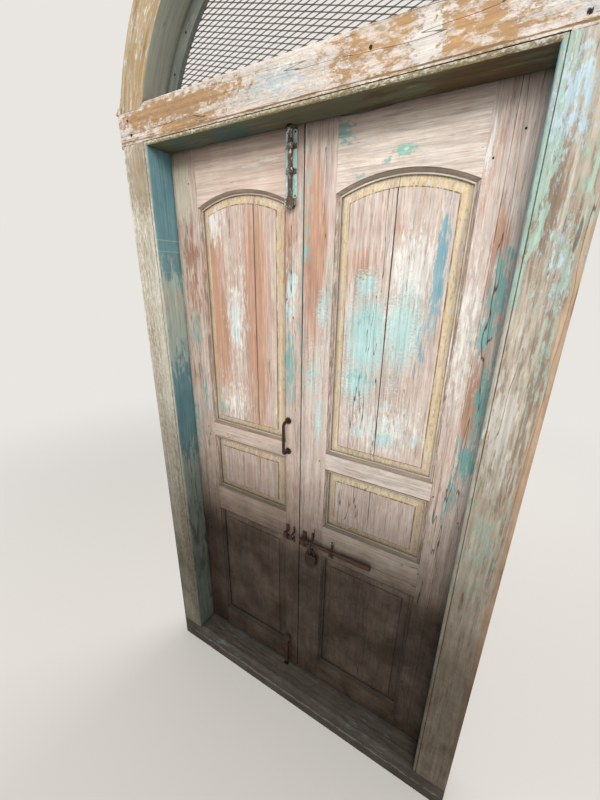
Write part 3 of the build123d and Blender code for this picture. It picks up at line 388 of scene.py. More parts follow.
# Left leaf, its stiles and panels: pale pink distemper worn through to rust red and white
leftUpright = {
    "grain": "upright", "seed": 3, "timber": leafTimber,
    "coats": [
        # pale pink distemper over all
        {"tones": ("CFBBAC", "C3AA9C"), "zone": "all", "flake": 16, "stretch": 9, "cover": 0.55, "sharp": 1.6,
         "thick": 0.2},
        # paler and darker streaks of the scraper
        {"tones": ("D6CCC2", "CDBCAF"), "flake": 4, "stretch": 16, "cover": -0.2, "sharp": 1.4, "thick": 0.1},
        {**scrapes, "cover": -0.42},
        # rust red and tan undercoats
        {"tones": rust, "flake": 7, "stretch": 22, "cover": -1.0, "gain": 2.4, "sharp": 1.6, "opaque": 0.72,
         "thick": -0.25, "places": [
            (-386, -330, 1330, 1862, 0.85), (-350, -305, 1289, 1701, 0.8), (-222, -150, 1230, 1840, 0.85),
            (-93, -52, 1640, 1850, 0.8), (-300, -240, 1560, 1720, 0.45), (-210, -160, 1180, 1300, 0.5),
            (-480, -420, 1250, 1420, 0.4)]},
        {"tones": ("A67B62", "966A52"), "flake": 12, "stretch": 6, "cover": -1.0, "gain": 2.1, "sharp": 2.5,
         "opaque": 0.8, "thick": -0.2, "places": [
            (-485, -416, 1549, 1818, 0.72), (-470, -430, 1290, 1400, 0.5)]},
        # grey green at the hinge side's top
        {"tones": ("C5B9A2", "CDC3AE"), "flake": 22, "stretch": 4, "sharp": 2, "places": [
            (-510, -415, 1840, 2060, 0.8), (-510, -470, 1500, 1840, 0.6)]},
        # white and pale blue remnants
        {"tones": white, "flake": 7, "stretch": 5, "cover": -1.05, "gain": 1.9, "sharp": 2, "places": [
            (-378, -316, 1789, 1884, 0.95), (-300, -232, 1461, 1658, 0.85), (-358, -240, 1171, 1329, 0.72),
            (-300, -262, 1660, 1880, 0.4), (-250, -226, 1500, 1860, 0.55), (-120, -100, 1200, 1300, 0.5)]},
        {"tones": ("BFD4D2", "CFDAD6"), "flake": 10, "stretch": 5, "sharp": 2.5, "places": [
            (-290, -262, 1470, 1600, 0.8), (-78, -34, 1560, 1740, 0.7), (-250, -232, 1590, 1740, 0.5)]},
        # dull turquoise along the edges
        {"tones": ("7FA9A4", "93B7AF"), "flake": 8, "stretch": 5, "cover": -1.05, "gain": 1.9, "sharp": 2.2,
         "places": [
            (-395, -335, 1142, 1273, 0.75), (-478, -425, 1426, 1552, 0.7), (-443, -410, 1151, 1431, 0.6),
            (-85, -35, 1303, 1550, 0.75), (-500, -470, 1010, 1240, 0.7), (-20, -14, 1250, 2040, 0.8),
            (-100, -84, 1180, 1500, 0.45), (-420, -402, 1700, 1900, 0.3)]},
        # the joint of the two boards
        {**boardJoint, "places": [(-187.6, -185.4, 1150, 1925, 1.0)]},
        # bevels and moulding
        {"tones": ("CFB98E", "D9C8A4"), "zone": "slope", "part": "Panel", "above": 830, "flake": 12,
         "stretch": 8, "cover": 0.3, "sharp": 2, "opaque": 0.85},
        *bevelCoats,
        {"tones": ("8C7A69", "A08D7A"), "zone": "mould", "flake": 5, "stretch": 10, "cover": 0.0, "sharp": 2},
    ],
    "grimeAndShade": leafGrimeAndShade,
}

# Left leaf, its rails
leftLevel = {
    "grain": "level", "seed": 23, "timber": leafTimber,
    "coats": [
        # pale pink distemper, streaked along the rails
        {"tones": ("D9C2B2", "CDB6A7"), "zone": "all", "flake": 16, "stretch": 8, "cover": 0.95, "sharp": 1.6,
         "thick": 0.2},
        {"tones": ("D3C5B9", "C9B7AA"), "flake": 4, "stretch": 14, "cover": -0.2, "sharp": 1.4, "thick": 0.1},
        {**scrapes, "cover": -0.6},
        {"tones": ("A98874", "9B7865"), "flake": 6, "stretch": 14, "cover": -0.8, "sharp": 1.5, "opaque": 0.6,
         "thick": -0.2},
        # a white scratch under the beam
        {"tones": ("E4DACF", "DDD0C4"), "flake": 5, "stretch": 6, "sharp": 4, "places": [
            (-206, -150, 1968, 1977, 0.9), (-150, -95, 1975, 1984, 0.95), (-330, -240, 1935, 1942, 0.6)]},
        # turquoise and grey left on the lock rails
        {"tones": ("7FA9A4", "93B7AF"), "flake": 8, "stretch": 5, "cover": -1.05, "gain": 1.9, "sharp": 2.2,
         "places": [
            (-440, -400, 1095, 1160, 0.6), (-150, -100, 1095, 1150, 0.4)]},
        {"tones": ("A7A69E", "B4B1A8"), "flake": 6, "stretch": 8, "gain": 1.9, "sharp": 1.8, "opaque": 0.6,
         "places": [(-480, -20, 1096, 1165, 0.55)]},
        # moulding
        {"tones": ("8A7A69", "9C8B79"), "zone": "mould", "flake": 8, "stretch": 10, "cover": 0.8, "sharp": 2},
    ],
    "grimeAndShade": leafGrimeAndShade,
}

# Right leaf, its stiles and panels: more turquoise and white than on the left
rightUpright = {
    "grain": "upright", "seed": 41, "timber": leafTimber,
    "coats": [
        # pale pink distemper over all
        {"tones": ("D3C1B4", "C7B1A6"), "zone": "all", "flake": 16, "stretch": 9, "cover": 0.62, "sharp": 1.6,
         "thick": 0.2},
        # paler and darker streaks of the scraper
        {"tones": ("D8CFC6", "CFC0B5"), "flake": 4, "stretch": 16, "cover": -0.15, "sharp": 1.4, "thick": 0.1},
        {**scrapes, "cover": -0.42},
        # rust red undercoat
        {"tones": rust, "flake": 7, "stretch": 20, "cover": -1.0, "gain": 2.3, "sharp": 1.6, "opaque": 0.72,
         "thick": -0.25, "places": [
            (-10, 46, 1566, 1920, 0.92), (120, 200, 1630, 1760, 0.6), (-10, 40, 1380, 1560, 0.5),
            (226, 300, 1241, 1400, 0.45), (445, 469, 1721, 1812, 0.8), (450, 467, 1622, 1702, 0.7),
            (452, 478, 1310, 1500, 0.95), (230, 260, 1760, 1830, 0.6), (395, 445, 1000, 1300, 0.4),
            (400, 440, 1820, 1960, 0.4)]},
        # white, then turquoise over it
        {"tones": white, "flake": 7, "stretch": 5, "cover": -1.05, "gain": 1.9, "sharp": 2, "places": [
            (239, 341, 1634, 1771, 0.95), (140, 235, 1450, 1560, 0.6), (225, 270, 1470, 1650, 0.75),
            (120, 200, 1250, 1380, 0.5), (389, 455, 1401, 1705, 0.75), (404, 422, 1841, 2004, 0.8),
            (40, 70, 1480, 1640, 0.55), (290, 350, 1500, 1640, 0.6), (140, 345, 1215, 1350, 0.78)]},
        {"tones": turquoise, "flake": 8, "stretch": 0.6, "cover": -1.05, "gain": 1.9, "sharp": 2.0,
         "opaque": 0.85, "places": [
            (145, 204, 1630, 1699, 0.9), (132, 236, 1440, 1623, 0.98), (122, 205, 1348, 1460, 0.9),
            (236, 318, 1474, 1650, 0.92), (225, 283, 1340, 1364, 0.6), (155, 196, 1239, 1271, 0.7),
            (224, 287, 1225, 1272, 0.8), (326, 352, 1243, 1282, 0.7), (240, 290, 1370, 1450, 0.55),
            (150, 340, 1225, 1345, 0.48), (265, 325, 1290, 1390, 0.4), (32, 73, 1555, 1639, 0.75),
            (-11, 60, 1318, 1493, 0.6), (29, 66, 1189, 1333, 0.7)]},
        # teal on the hinge stile, blue on the panel's edge
        {"tones": ("82AFAA", "98BFB8"), "flake": 8, "stretch": 4, "cover": -1.05, "gain": 1.9, "sharp": 2.2,
         "places": [
            (447, 477, 1533, 1599, 0.9), (474, 499, 1290, 1500, 0.9), (453, 499, 1180, 1300, 0.85),
            (462, 498, 1592, 1729, 0.85), (440, 470, 1050, 1200, 0.7), (135, 200, 1400, 1440, 0.6),
            (150, 215, 1560, 1600, 0.6), (-12, 8, 1650, 2040, 0.6), (60, 88, 1500, 1760, 0.45)]},
        {"tones": ("7FA6B2", "92B4BC"), "flake": 7, "stretch": 6, "cover": -1.05, "gain": 1.9, "places": [
            (336, 360, 1579, 1817, 0.98), (318, 340, 1440, 1600, 0.65), (188, 356, 1073, 1082, 0.7)]},
        # the joint of the two boards
        {**boardJoint, "places": [(232.6, 234.9, 1150, 1925, 1.0)]},
        # bevels and moulding
        {"tones": ("D8C194", "E2D2AE"), "zone": "slope", "part": "Panel", "above": 830, "flake": 12,
         "stretch": 8, "cover": 0.35, "sharp": 2, "opaque": 0.85},
        *bevelCoats,
        {"tones": ("8C7A69", "A08D7A"), "zone": "mould", "flake": 5, "stretch": 10, "cover": 0.05, "sharp": 2},
    ],
    "grimeAndShade": leafGrimeAndShade,
}

# Right leaf, its rails
rightLevel = {
    "grain": "level", "seed": 61, "timber": leafTimber,
    "coats": [
        # pale pink distemper, streaked along the rails
        {"tones": ("E8DBCE", "DDCBBD"), "zone": "all", "flake": 16, "stretch": 8, "cover": 0.95, "sharp": 1.6,
         "thick": 0.2},
        {"tones": ("D6CABE", "CCBBAD"), "flake": 4, "stretch": 14, "cover": -0.15, "sharp": 1.4, "thick": 0.1},
        {**scrapes, "cover": -0.6},
        {"tones": ("B39480", "A58470"), "flake": 6, "stretch": 14, "cover": -0.8, "sharp": 1.5, "opaque": 0.6,
         "thick": -0.2},
        # green, grey and mint remnants
        {"tones": ("8FB3AC", "A5C2BA"), "flake": 12, "stretch": 2, "sharp": 2.6, "places": [
            (50, 114, 1986, 2028, 0.85), (190, 230, 1930, 1950, 0.6), (100, 160, 1900, 1930, 0.45),
            (380, 420, 1900, 1960, 0.4)]},
        {"tones": ("A3A6A0", "AEB0AA"), "flake": 6, "stretch": 8, "gain": 1.9, "sharp": 1.8, "opaque": 0.6,
         "places": [(20, 480, 1096, 1165, 0.6)]},
        {"tones": ("8CC5B4", "A9D2C4"), "flake": 7, "sharp": 4, "places": [(226, 262, 1944, 1962, 0.98)]},
        {"tones": ("E2E8E2", "DDE2DC"), "flake": 4, "sharp": 5, "places": [
            (240, 250, 1952, 1958, 1.0), (270, 300, 1944, 1948, 0.7)]},
        # moulding
        {"tones": ("8C7E6F", "A0917F"), "zone": "mould", "flake": 8, "stretch": 10, "cover": 0.9, "sharp": 2},
    ],
    "grimeAndShade": leafGrimeAndShade,
}

# Head beam: ochre, pink white and a bluish patch in the middle, its underside dark green and brown, darkened
# further as painted shade
beamLook = {
    "grain": "level", "seed": 81, "timber": ("6F5B45", "937C60", "B39C7C"), "relief": 1.8,
    "coats": [
        {"tones": ("DCD2C8", "CFC2B5"), "flake": 18, "stretch": 3, "cover": 0.8, "sharp": 2, "thick": 0.3},
        # underside: dark green and brown paint, darkened further as painted shade
        {"tones": ("55553F", "5E5D48"), "zone": "under", "flake": 30, "stretch": 5, "cover": 0.7, "sharp": 2},
        {"tones": ("3F554E", "4A625B"), "zone": "under", "flake": 24, "stretch": 3, "sharp": 3, "places": [
            (-273, -136, 2030, 2060, 0.85), (-480, -300, 2030, 2060, 0.6)]},
        {"tones": ("4A3A24", "58462C"), "zone": "under", "flake": 24, "stretch": 5, "sharp": 2, "places": [
            (298, 475, 2030, 2060, 0.9), (120, 300, 2030, 2060, 0.5)]},
        # ochre undercoat and fine brown specks
        {"tones": ("A0784A", "B28A59"), "flake": 15, "stretch": 2.0, "cover": -0.75, "gain": 1.9,
         "opaque": 0.92, "places": [
            (-570, -190, 2092, 2128, 0.9), (92, 188, 2060, 2140, 0.6), (190, 467, 2050, 2143, 0.6),
            (330, 467, 2050, 2143, 0.6), (-430, -240, 2052, 2084, 0.75), (-600, -480, 2056, 2140, 0.45),
            (200, 300, 2120, 2143, 0.6)]},
        {"tones": ("9A8263", "8A7254"), "flake": 5, "stretch": 2.5, "cover": -0.95, "gain": 1.7, "sharp": 2,
         "opaque": 0.75, "thick": -0.2, "places": [
            (-630, -150, 2050, 2143, 0.62), (60, 260, 2060, 2143, 0.35)]},
        {"tones": ("B79B7C", "A98D6E"), "flake": 4, "stretch": 2.5, "cover": -0.42, "sharp": 2, "opaque": 0.55,
         "thick": -0.15},
        # white and bluish scraped patches
        {"tones": ("DFD8CE", "D3CCC3"), "flake": 9, "stretch": 1.6, "cover": -0.75, "gain": 1.9, "sharp": 3,
         "thick": 0.35, "places": [
            (-78, 24, 2070, 2123, 0.7), (267, 313, 2051, 2128, 0.9), (420, 500, 2090, 2143, 0.6),
            (-160, 100, 2060, 2140, 0.5), (490, 630, 2041, 2143, 0.4)]},
        {"tones": ("B9C0C2", "C6CACA"), "flake": 9, "stretch": 2, "cover": -1.0, "gain": 1.8, "places": [
            (-110, 20, 2078, 2120, 0.8), (500, 630, 2060, 2130, 0.75), (-630, -560, 2060, 2120, 0.5)]},
        # the bead: cream, chipped
        {"tones": ("D6D3BE", "B9B99F"), "flake": 5, "stretch": 3, "gain": 1.75,
         "places": [(-1400, 1400, 2039, 2052, 0.9)]},
        # rust stains of nails
        {"tones": ("33251B", "271C15"), "flake": 3, "gain": 2.6, "sharp": 4, "thick": -0.8, "places": [
            (-562, -556, 2071, 2077, 1.0), (-572, -566, 2107, 2113, 1.0), (527, 533, 2065, 2071, 1.0),
            (180, 185, 2104, 2109, 0.9)]},
        {"tones": ("8A7855", "9C8860"), "flake": 4, "stretch": 2, "cover": -0.85, "gain": 1.8, "sharp": 3,
         "thick": -0.2, "places": [(-1400, 1400, 2034, 2052, 0.6)]},
        # the line above the bead
        {"tones": ("9A7A58", "8C6C4C"), "flake": 8, "stretch": 10, "cover": -0.9, "gain": 2.0, "sharp": 3,
         "thick": -0.4, "places": [(-1400, 1400, 2056, 2059, 0.8)]},
    ],
}

# Left jamb: grey cream in front, blue and grey green towards the door
jambLeft = {
    "grain": "upright", "seed": 101, "timber": ("6B5A48", "8F7E68", "B3A48C"), "relief": 1.6,
    "coats": [
        {"tones": ("C6C0AE", "B9B3A0"), "zone": "all", "flake": 16, "stretch": 5, "cover": 0.75, "sharp": 2,
         "thick": 0.3},
        {"tones": ("DCD6C8", "D2CBBB"), "flake": 5, "stretch": 4, "cover": -0.1, "sharp": 2},
        {"tones": ("A39179", "948168"), "flake": 5, "stretch": 4, "cover": -0.5, "gain": 2.0, "sharp": 2,
         "opaque": 0.8, "thick": -0.2, "places": [
            (-581, -505, 1900, 2038, 0.7), (-600, -560, 1200, 1800, 0.3), (-540, -505, 300, 900, 0.4)]},
        # the side towards the door
        {"tones": ("AABBB0", "B1BFB4"), "zone": "side", "flake": 22, "stretch": 5, "gain": 2.4,
         "places": [(-560, -440, -1500, 3600, 1.0)]},
        {"tones": ("66909A", "759BA0"), "zone": "side", "flake": 14, "stretch": 4, "places": [
            (-520, -480, 1770, 2080, 1.4), (-520, -480, 1051, 1357, 1.0)]},
        {"tones": ("C9B0A2", "BBA294"), "zone": "side", "flake": 14, "stretch": 5, "cover": -1.0, "gain": 2.0,
         "sharp": 2, "places": [(-520, -480, 1500, 1720, 0.42)]},
        {"tones": ("8E9084", "828477"), "zone": "side", "flake": 20, "stretch": 5, "sharp": 2,
         "places": [(-520, -480, 100, 950, 0.45)]},
        # fine scratches
        {"tones": ("C4D2D2", "B9C8C8"), "zone": "side", "flake": 3, "stretch": 0.2, "sharp": 4, "opaque": 0.5,
         "places": [
            (-560, -440, 1787, 1790, 0.85), (-560, -440, 1754, 1757, 0.7), (-560, -440, 1690, 1692, 0.6)]},
    ],
    # darker towards the bottom: painted shade and grime together
    "grimeAndShade": {"clean": 1700, "full": 500, "most": 0.9, "tone": "5E5C52"},
}

# Right jamb: grey brown with mint, pale blue and white in front
jambRight = {
    "grain": "upright", "seed": 121, "timber": ("6B5644", "8E7863", "AF9B84"), "relief": 1.6,
    "coats": [
        {"tones": ("BDB3A2", "ADA18E"), "zone": "all", "flake": 18, "stretch": 7, "cover": 0.5, "sharp": 2,
         "thick": 0.3},
        {"tones": ("CBC3B5", "BFB6A6"), "flake": 10, "stretch": 9, "cover": -0.25, "sharp": 2},
        {"tones": ("97806B", "887060"), "flake": 7, "stretch": 10, "cover": -0.55, "gain": 2.0, "sharp": 2,
         "opaque": 0.8, "thick": -0.25, "places": [
            (509, 540, 1755, 1895, 0.9), (560, 600, 1200, 1700, 0.4), (505, 530, 1300, 1500, 0.4)]},
        # mint and pale blue
        {"tones": ("9BB6A6", "AABFB0"), "flake": 8, "stretch": 4, "cover": -0.8, "gain": 1.9, "sharp": 2.2,
         "places": [
            (500, 528, 1740, 2030, 0.8), (500, 516, 1640, 1720, 0.8), (560, 605, 1500, 1900, 0.45),
            (520, 580, 900, 1200, 0.4)]},
        {"tones": ("B0C8D2", "C0D0D4"), "flake": 7, "stretch": 3, "cover": -0.95, "gain": 1.9, "places": [
            (501, 560, 1890, 2042, 0.68), (540, 590, 1650, 1800, 0.5)]},
        # white, and tan on the outer edge
        {"tones": ("D0CAC0", "C6BFB2"), "flake": 10, "stretch": 6, "places": [(505, 560, 1258, 1595, 0.7)]},
        {"tones": ("C0A68C", "B3977B"), "flake": 12, "stretch": 10, "places": [(592, 612, 100, 2090, 0.9)]},
        # the side towards the door
        {"tones": ("8CA5A0", "98AFA8"), "zone": "side", "flake": 22, "stretch": 5, "gain": 2.4,
         "places": [(440, 560, -1500, 3600, 1.0)]},
        {"tones": ("5E93A6", "6B9FAE"), "zone": "side", "flake": 20, "stretch": 4,
         "places": [(480, 520, 1700, 2080, 1.0)]},
    ],
    # darker towards the bottom: painted shade and grime together
    "grimeAndShade": {"clean": 1500, "full": 520, "most": 0.9, "tone": "5A4F40"},
}

# Arch: ochre and cream in front, whiter outwards, grey green underneath
archLook = {
    "grain": "round", "seed": 141, "timber": ("6F5B45", "937C60", "B39C7C"), "relief": 1.6,
    "coats": [
        {"tones": ("B5A487", "A69474"), "zone": "all", "flake": 20, "stretch": 5, "cover": 0.6, "sharp": 2,
         "thick": 0.3},
        {"tones": ("A5804F", "B08D60"), "flake": 9, "stretch": 6, "cover": -0.1, "opaque": 0.85},
        # the whiter outer edge
        {"tones": ("E2D9CB", "D6CBBA"), "flake": 9, "stretch": 2, "gain": 1.8, "sharp": 2.2, "places": [
            (-645, -588, 2120, 2240, 0.75), (-625, -574, 2240, 2310, 0.75), (-600, -545, 2310, 2370, 0.7),
            (-570, -505, 2370, 2430, 0.6), (588, 645, 2120, 2240, 0.6), (-180, 200, 2560, 2600, 0.6)]},
        {"tones": ("CFC9BB", "C6BFAE"), "flake": 8, "stretch": 5, "cover": -0.35, "sharp": 2.6},
        {"tones": ("8DA39B", "9DB0A6"), "flake": 9, "stretch": 4, "cover": -0.8},
        # underside
        {"tones": ("A3A89C", "ACAFA2"), "zone": "soffit", "flake": 22, "stretch": 5, "cover": 0.8, "sharp": 2},
    ],
}

# The strip that holds the mesh
stripLook = {
    "grain": "round", "seed": 151, "timber": ("4A463C", "615D52", "7A766A"), "relief": 1.2,
    "coats": [
        {"tones": ("6B716A", "77796E"), "zone": "all", "flake": 10, "stretch": 5, "cover": 0.7, "sharp": 2,
         "thick": 0.2},
        {"tones": ("8E8C7C", "9A9886"), "zone": "all", "flake": 5, "stretch": 4, "cover": -0.5, "sharp": 2.2},
        {"tones": ("5E7F80", "6A8B8A"), "zone": "all", "flake": 8, "stretch": 4, "cover": -0.6, "sharp": 2.2},
    ],
}

# Sill: dark, paler at its front edge
sillLook = {
    "grain": "level", "seed": 161, "timber": ("2D2721", "3B332B", "4A4137"), "relief": 1.4,
    "coats": [
        {"tones": ("3E3830", "37312A"), "zone": "all", "flake": 16, "stretch": 8, "cover": 0.6, "sharp": 1.8,
         "thick": 0.2},
        {"tones": ("4A443B", "433D35"), "zone": "all", "flake": 14, "stretch": 5, "cover": -0.7, "gain": 2.0,
         "sharp": 2.2, "places": [(-600, 600, 80, 110, 0.5)]},
        # front edge
        {"tones": ("857B6D", "756B5E"), "flake": 8, "stretch": 4, "cover": -1.0, "gain": 1.9, "opaque": 0.7,
         "places": [(-630, 630, 41, 51, 0.75)]},
        # teal remnants
        {"tones": ("596866", "4E5E5C"), "zone": "all", "flake": 12, "stretch": 5, "places": [
            (-450, -250, 40, 110, 0.4), (200, 420, 20, 100, 0.4)]},
    ],
}

stiles = ["hinge_stile", "meeting_stile"]
rails = ["top_rail", "upper_lock_rail", "lower_lock_rail", "bottom_rail"]
boards = ["left_board", "right_board", "middle_panel", "bottom_panel"]
paints = {}
for name, look, users in (
        ("leftStilePaint", leftUpright, ["left_" + part for part in stiles]),
        ("leftRailPaint", leftLevel, ["left_" + part for part in rails]),
        ("leftPanelPaint", leftUpright, ["left_" + part for part in boards]),
        ("rightStilePaint", rightUpright, ["right_" + part for part in stiles] + ["right_stile_strip"]),
        ("rightRailPaint", rightLevel, ["right_" + part for part in rails]),
        ("rightPanelPaint", rightUpright, ["right_" + part for part in boards]),
        ("beamPaint", beamLook, ["head_beam", "beam_strip"]),
        ("leftJambPaint", jambLeft, ["left_jamb"]),
        ("rightJambPaint", jambRight, ["right_jamb"]),
        ("sillPaint", sillLook, ["sill"]),
        ("archPaint", archLook, ["arch_left", "arch_crown", "arch_right"]),
        ("archStripPaint", stripLook, ["arch_strip"])):
    paints[name] = paintedTimber(name, look, users)
print("timber paints ready")


def ironMaterial(name, look):
    # Forged wrought iron, rusted brown and matt, with flakes of the door's paint left in its hollows
    material, tree = newMaterial(name)
    point = addNode(tree, "TexCoord")["Object"]
    pits = addNode(tree, "TexNoise", {"Vector": point, "Scale": 1000 / look["pit"], "Detail": 4.0,
                                      "Roughness": 0.6})[0]
    stain = addNode(tree, "TexNoise", {"Vector": point, "Scale": 1000 / look["stain"], "Detail": 4.0})[0]
    share = addNode(tree, "MapRange", {0: stain, 1: 0.4, 2: 0.62})[0]
    colour = addNode(tree, "Mix", {0: share, 6: linear(look["tones"][0]), 7: linear(look["tones"][1])},
                     **mix)[2]
    bright = addNode(tree, "MapRange", {0: pits, 1: 0.5, 2: 0.66})[0]
    colour = addNode(tree, "Mix", {0: bright, 6: colour, 7: linear(look["tones"][2])}, **mix)[2]
    for n, (tone, size, cover) in enumerate(look.get("paint", [])):
        mask = addNode(tree, "Group", {0: point, 1: size, 2: 1.5, 3: cover, 4: 3.0, 5: 5.0 + n},
                       node_tree=flakes)[0]
        colour = addNode(tree, "Mix", {0: mask, 6: colour, 7: linear(tone)}, **mix)[2]
    rough = addNode(tree, "MapRange", {0: stain, 3: look["rough"][0], 4: look["rough"][1]})[0]
    bump = addNode(tree, "Bump", {"Strength": 1.0, "Distance": look["relief"] * mm, "Height": pits})[0]
    surface = addNode(tree, "BsdfPrincipled", {"Base Color": colour, "Metallic": look["metallic"],
                                               "Roughness": rough, "Normal": bump})
    addNode(tree, "OutputMaterial", {0: surface[0]})
    return material


# Pits, stains and relief in millimetres; old paint as tone, flake in millimetres and cover
irons = {
    "rustyIron": ironMaterial("rustyWroughtIron", {
        "tones": ("1F1510", "371F14", "503222"), "pit": 2.2, "stain": 14, "relief": 0.5, "rough": (0.6, 0.85),
        "metallic": 0.35}),
    "paintedIron": ironMaterial("ironUnderOldPaint", {
        "tones": ("3E2F25", "553F31", "735E4C"), "pit": 2.4, "stain": 16, "relief": 0.5, "rough": (0.6, 0.85),
        "metallic": 0.1,
        "paint": [("A3BFB2", 14, -0.35), ("D9DBD0", 12, -0.45), ("7FA9A4", 12, -0.7)]}),
    "plateIron": ironMaterial("plateUnderOldPaint", {
        "tones": ("6B5A4A", "857260", "9A8874"), "pit": 2.4, "stain": 20, "relief": 0.4, "rough": (0.7, 0.9),
        "metallic": 0.0,
        "paint": [("A9C6BF", 16, 0.7), ("C9D8D2", 14, -0.35), ("8BB5AF", 16, -0.3)]}),
    "padlockSteel": ironMaterial("rustedPadlockSteel", {
        "tones": ("160D0A", "28150E", "3A2319"), "pit": 1.8, "stain": 12, "relief": 0.35, "rough": (0.5, 0.8),
        "metallic": 0.4}),
    "meshSteel": ironMaterial("tarnishedExpandedSteel", {
        "tones": ("4A433B", "5C534A", "6F665B"), "pit": 2.0, "stain": 60, "relief": 0.1, "rough": (0.5, 0.7),
        "metallic": 0.3}),
    "patina": ironMaterial("copperWirePatina", {
        "tones": ("5C7A62", "7FA088", "9DB8A0"), "pit": 1.5, "stain": 6, "relief": 0.2, "rough": (0.6, 0.85),
        "metallic": 0.2}),
}
print("iron finishes ready")


def dress(node, material):
    nodes[node].data.materials.clear()
    nodes[node].data.materials.append(material)


def addPiece(name, bm, material, body, smooth=None):
    bmesh.ops.recalc_face_normals(bm, faces=bm.faces)
    mesh = bpy.data.meshes.new(name)
    bm.to_mesh(mesh)
    bm.free()
    mesh.materials.append(material)
    piece = bpy.data.objects.new(name, mesh)
    scene.collection.objects.link(piece)
    if smooth:
        mesh.shade_smooth()
        mesh.set_sharp_from_angle(angle=math.radians(smooth))
    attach(piece, body)
    return piece


# Wear in millimetres: between slices, the narrowest face worn, the rounding, the bites' width and depth
leafWear = {"step": 22, "narrow": 3.5, "round": 1.3, "bite": 26, "depth": 1.4}
frameWear = {"step": 18, "narrow": 6, "round": 2.6, "bite": 34, "depth": 4.2}
sillWear = {"step": 18, "narrow": 6, "round": 4.5, "bite": 40, "depth": 6}
# Angles of an arris and of a soft edge, what the noise spares, how much finer its second part is, and the
# slices of the arch, which are in degrees
wearing = {"arris": 0.6, "soft": 0.45, "spared": 0.1, "fine": 2.6, "slices": 44, "slice": 2.2}


def wornTimber(node, material, wear, grain):
    # The carpenter's piece with its arrises rounded and nibbled by age
    bm = bmesh.new()
    bm.from_mesh(nodes[node].data)
    bmesh.ops.remove_doubles(bm, verts=bm.verts, dist=2e-5)
    bmesh.ops.dissolve_limit(bm, angle_limit=0.02, verts=bm.verts, edges=bm.edges)
    low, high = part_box(node)
    planes = []
    if grain == "round":
        for n in range(-wearing["slices"], wearing["slices"] + 1):
            turn = math.radians(n * wearing["slice"])
            planes.append(((0, 0, archCentre), (math.cos(turn), 0, -math.sin(turn))))
    else:
        normal = Vector((1, 0, 0)) if grain == "level" else Vector((0, 0, 1))
        cuts = int((high - low).dot(normal) / (wear["step"] * mm))
        planes = [(low + (high - low) * (n / cuts), normal) for n in range(1, cuts)]
    for at, normal in planes:
        bmesh.ops.bisect_plane(bm, geom=bm.verts[:] + bm.edges[:] + bm.faces[:], dist=1e-6, plane_co=at,
                               plane_no=normal)
    arrises = []
    for edge in bm.edges:
        if len(edge.link_faces) == 2 and edge.is_convex and edge.calc_face_angle(0) > wearing["arris"]:
            widths = [face.calc_area() / max(side.calc_length() for side in face.edges)
                      for face in edge.link_faces]
            if min(widths) > wear["narrow"] * mm:
                arrises.append(edge)
    made = bmesh.ops.bevel(bm, geom=arrises, offset=wear["round"] * mm, offset_type="OFFSET", segments=2,
                           profile=0.5, affect="EDGES", clamp_overlap=True, material=-1)
    bm.normal_update()
    rounded = set(made["faces"])
    for vert in {vert for face in rounded for vert in face.verts}:
        if all(face in rounded for face in vert.link_faces):  # the flat faces stay flat
            size = noise.noise(vert.co * (1000 / wear["bite"]))
            size += 0.5 * noise.noise(vert.co * (1000 * wearing["fine"] / wear["bite"]))
            vert.co -= vert.normal * max(0, size - wearing["spared"]) * wear["depth"] * mm
    for edge in bm.edges:
        sides = [face in rounded for face in edge.link_faces]
        edge.smooth = len(sides) == 2 and sides[0] == sides[1] and edge.calc_face_angle(0) < wearing["soft"]
    for face in bm.faces:
        face.smooth = True
    piece = addPiece(node + ".worn", bm, material, bodyOf[node])
    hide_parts(node)
    return piece


for side in ("left", "right"):
    for part in stiles:
        wornTimber(side + "_" + part, paints[side + "StilePaint"], leafWear, "upright")
    for part in rails:
        wornTimber(side + "_" + part, paints[side + "RailPaint"], leafWear, "level")
    for part in boards:
        dress(side + "_" + part, paints[side + "PanelPaint"])
wornTimber("right_stile_strip", paints["rightStilePaint"], leafWear, "upright")
wornTimber("left_jamb", paints["leftJambPaint"], frameWear, "upright")
wornTimber("right_jamb", paints["rightJambPaint"], frameWear, "upright")
wornTimber("head_beam", paints["beamPaint"], frameWear, "level")
wornTimber("sill", paints["sillPaint"], sillWear, "level")
for node in ("arch_left", "arch_crown", "arch_right"):
    wornTimber(node, paints["archPaint"], frameWear, "round")
print("timbers worn")

finishes = {"top_bolt": "paintedIron", "top_bolt_straps": "paintedIron", "top_bolt_plate": "plateIron",
            "padlock_case": "padlockSteel", "shackle": "padlockSteel"}
for node in nodes:
    if slotOf[node] == "rusty_iron":
        dress(node, irons[finishes.get(node, "rustyIron")])
dress("arch_strip", paints["archStripPaint"])
dress("beam_strip", paints["beamPaint"])

# Expanded steel: every row is one zigzag strand that touches its neighbours at the knots
lattice = {"long": 42, "short": 12, "width": 1.9, "thick": 1.3, "knot": 5, "lap": 0.8, "lean": 0.4,
           # these in metres
           "radius": 0.506, "halfWide": 0.5, "front": 0.0272, "floor": 2.1445, "slack": 0.0002}

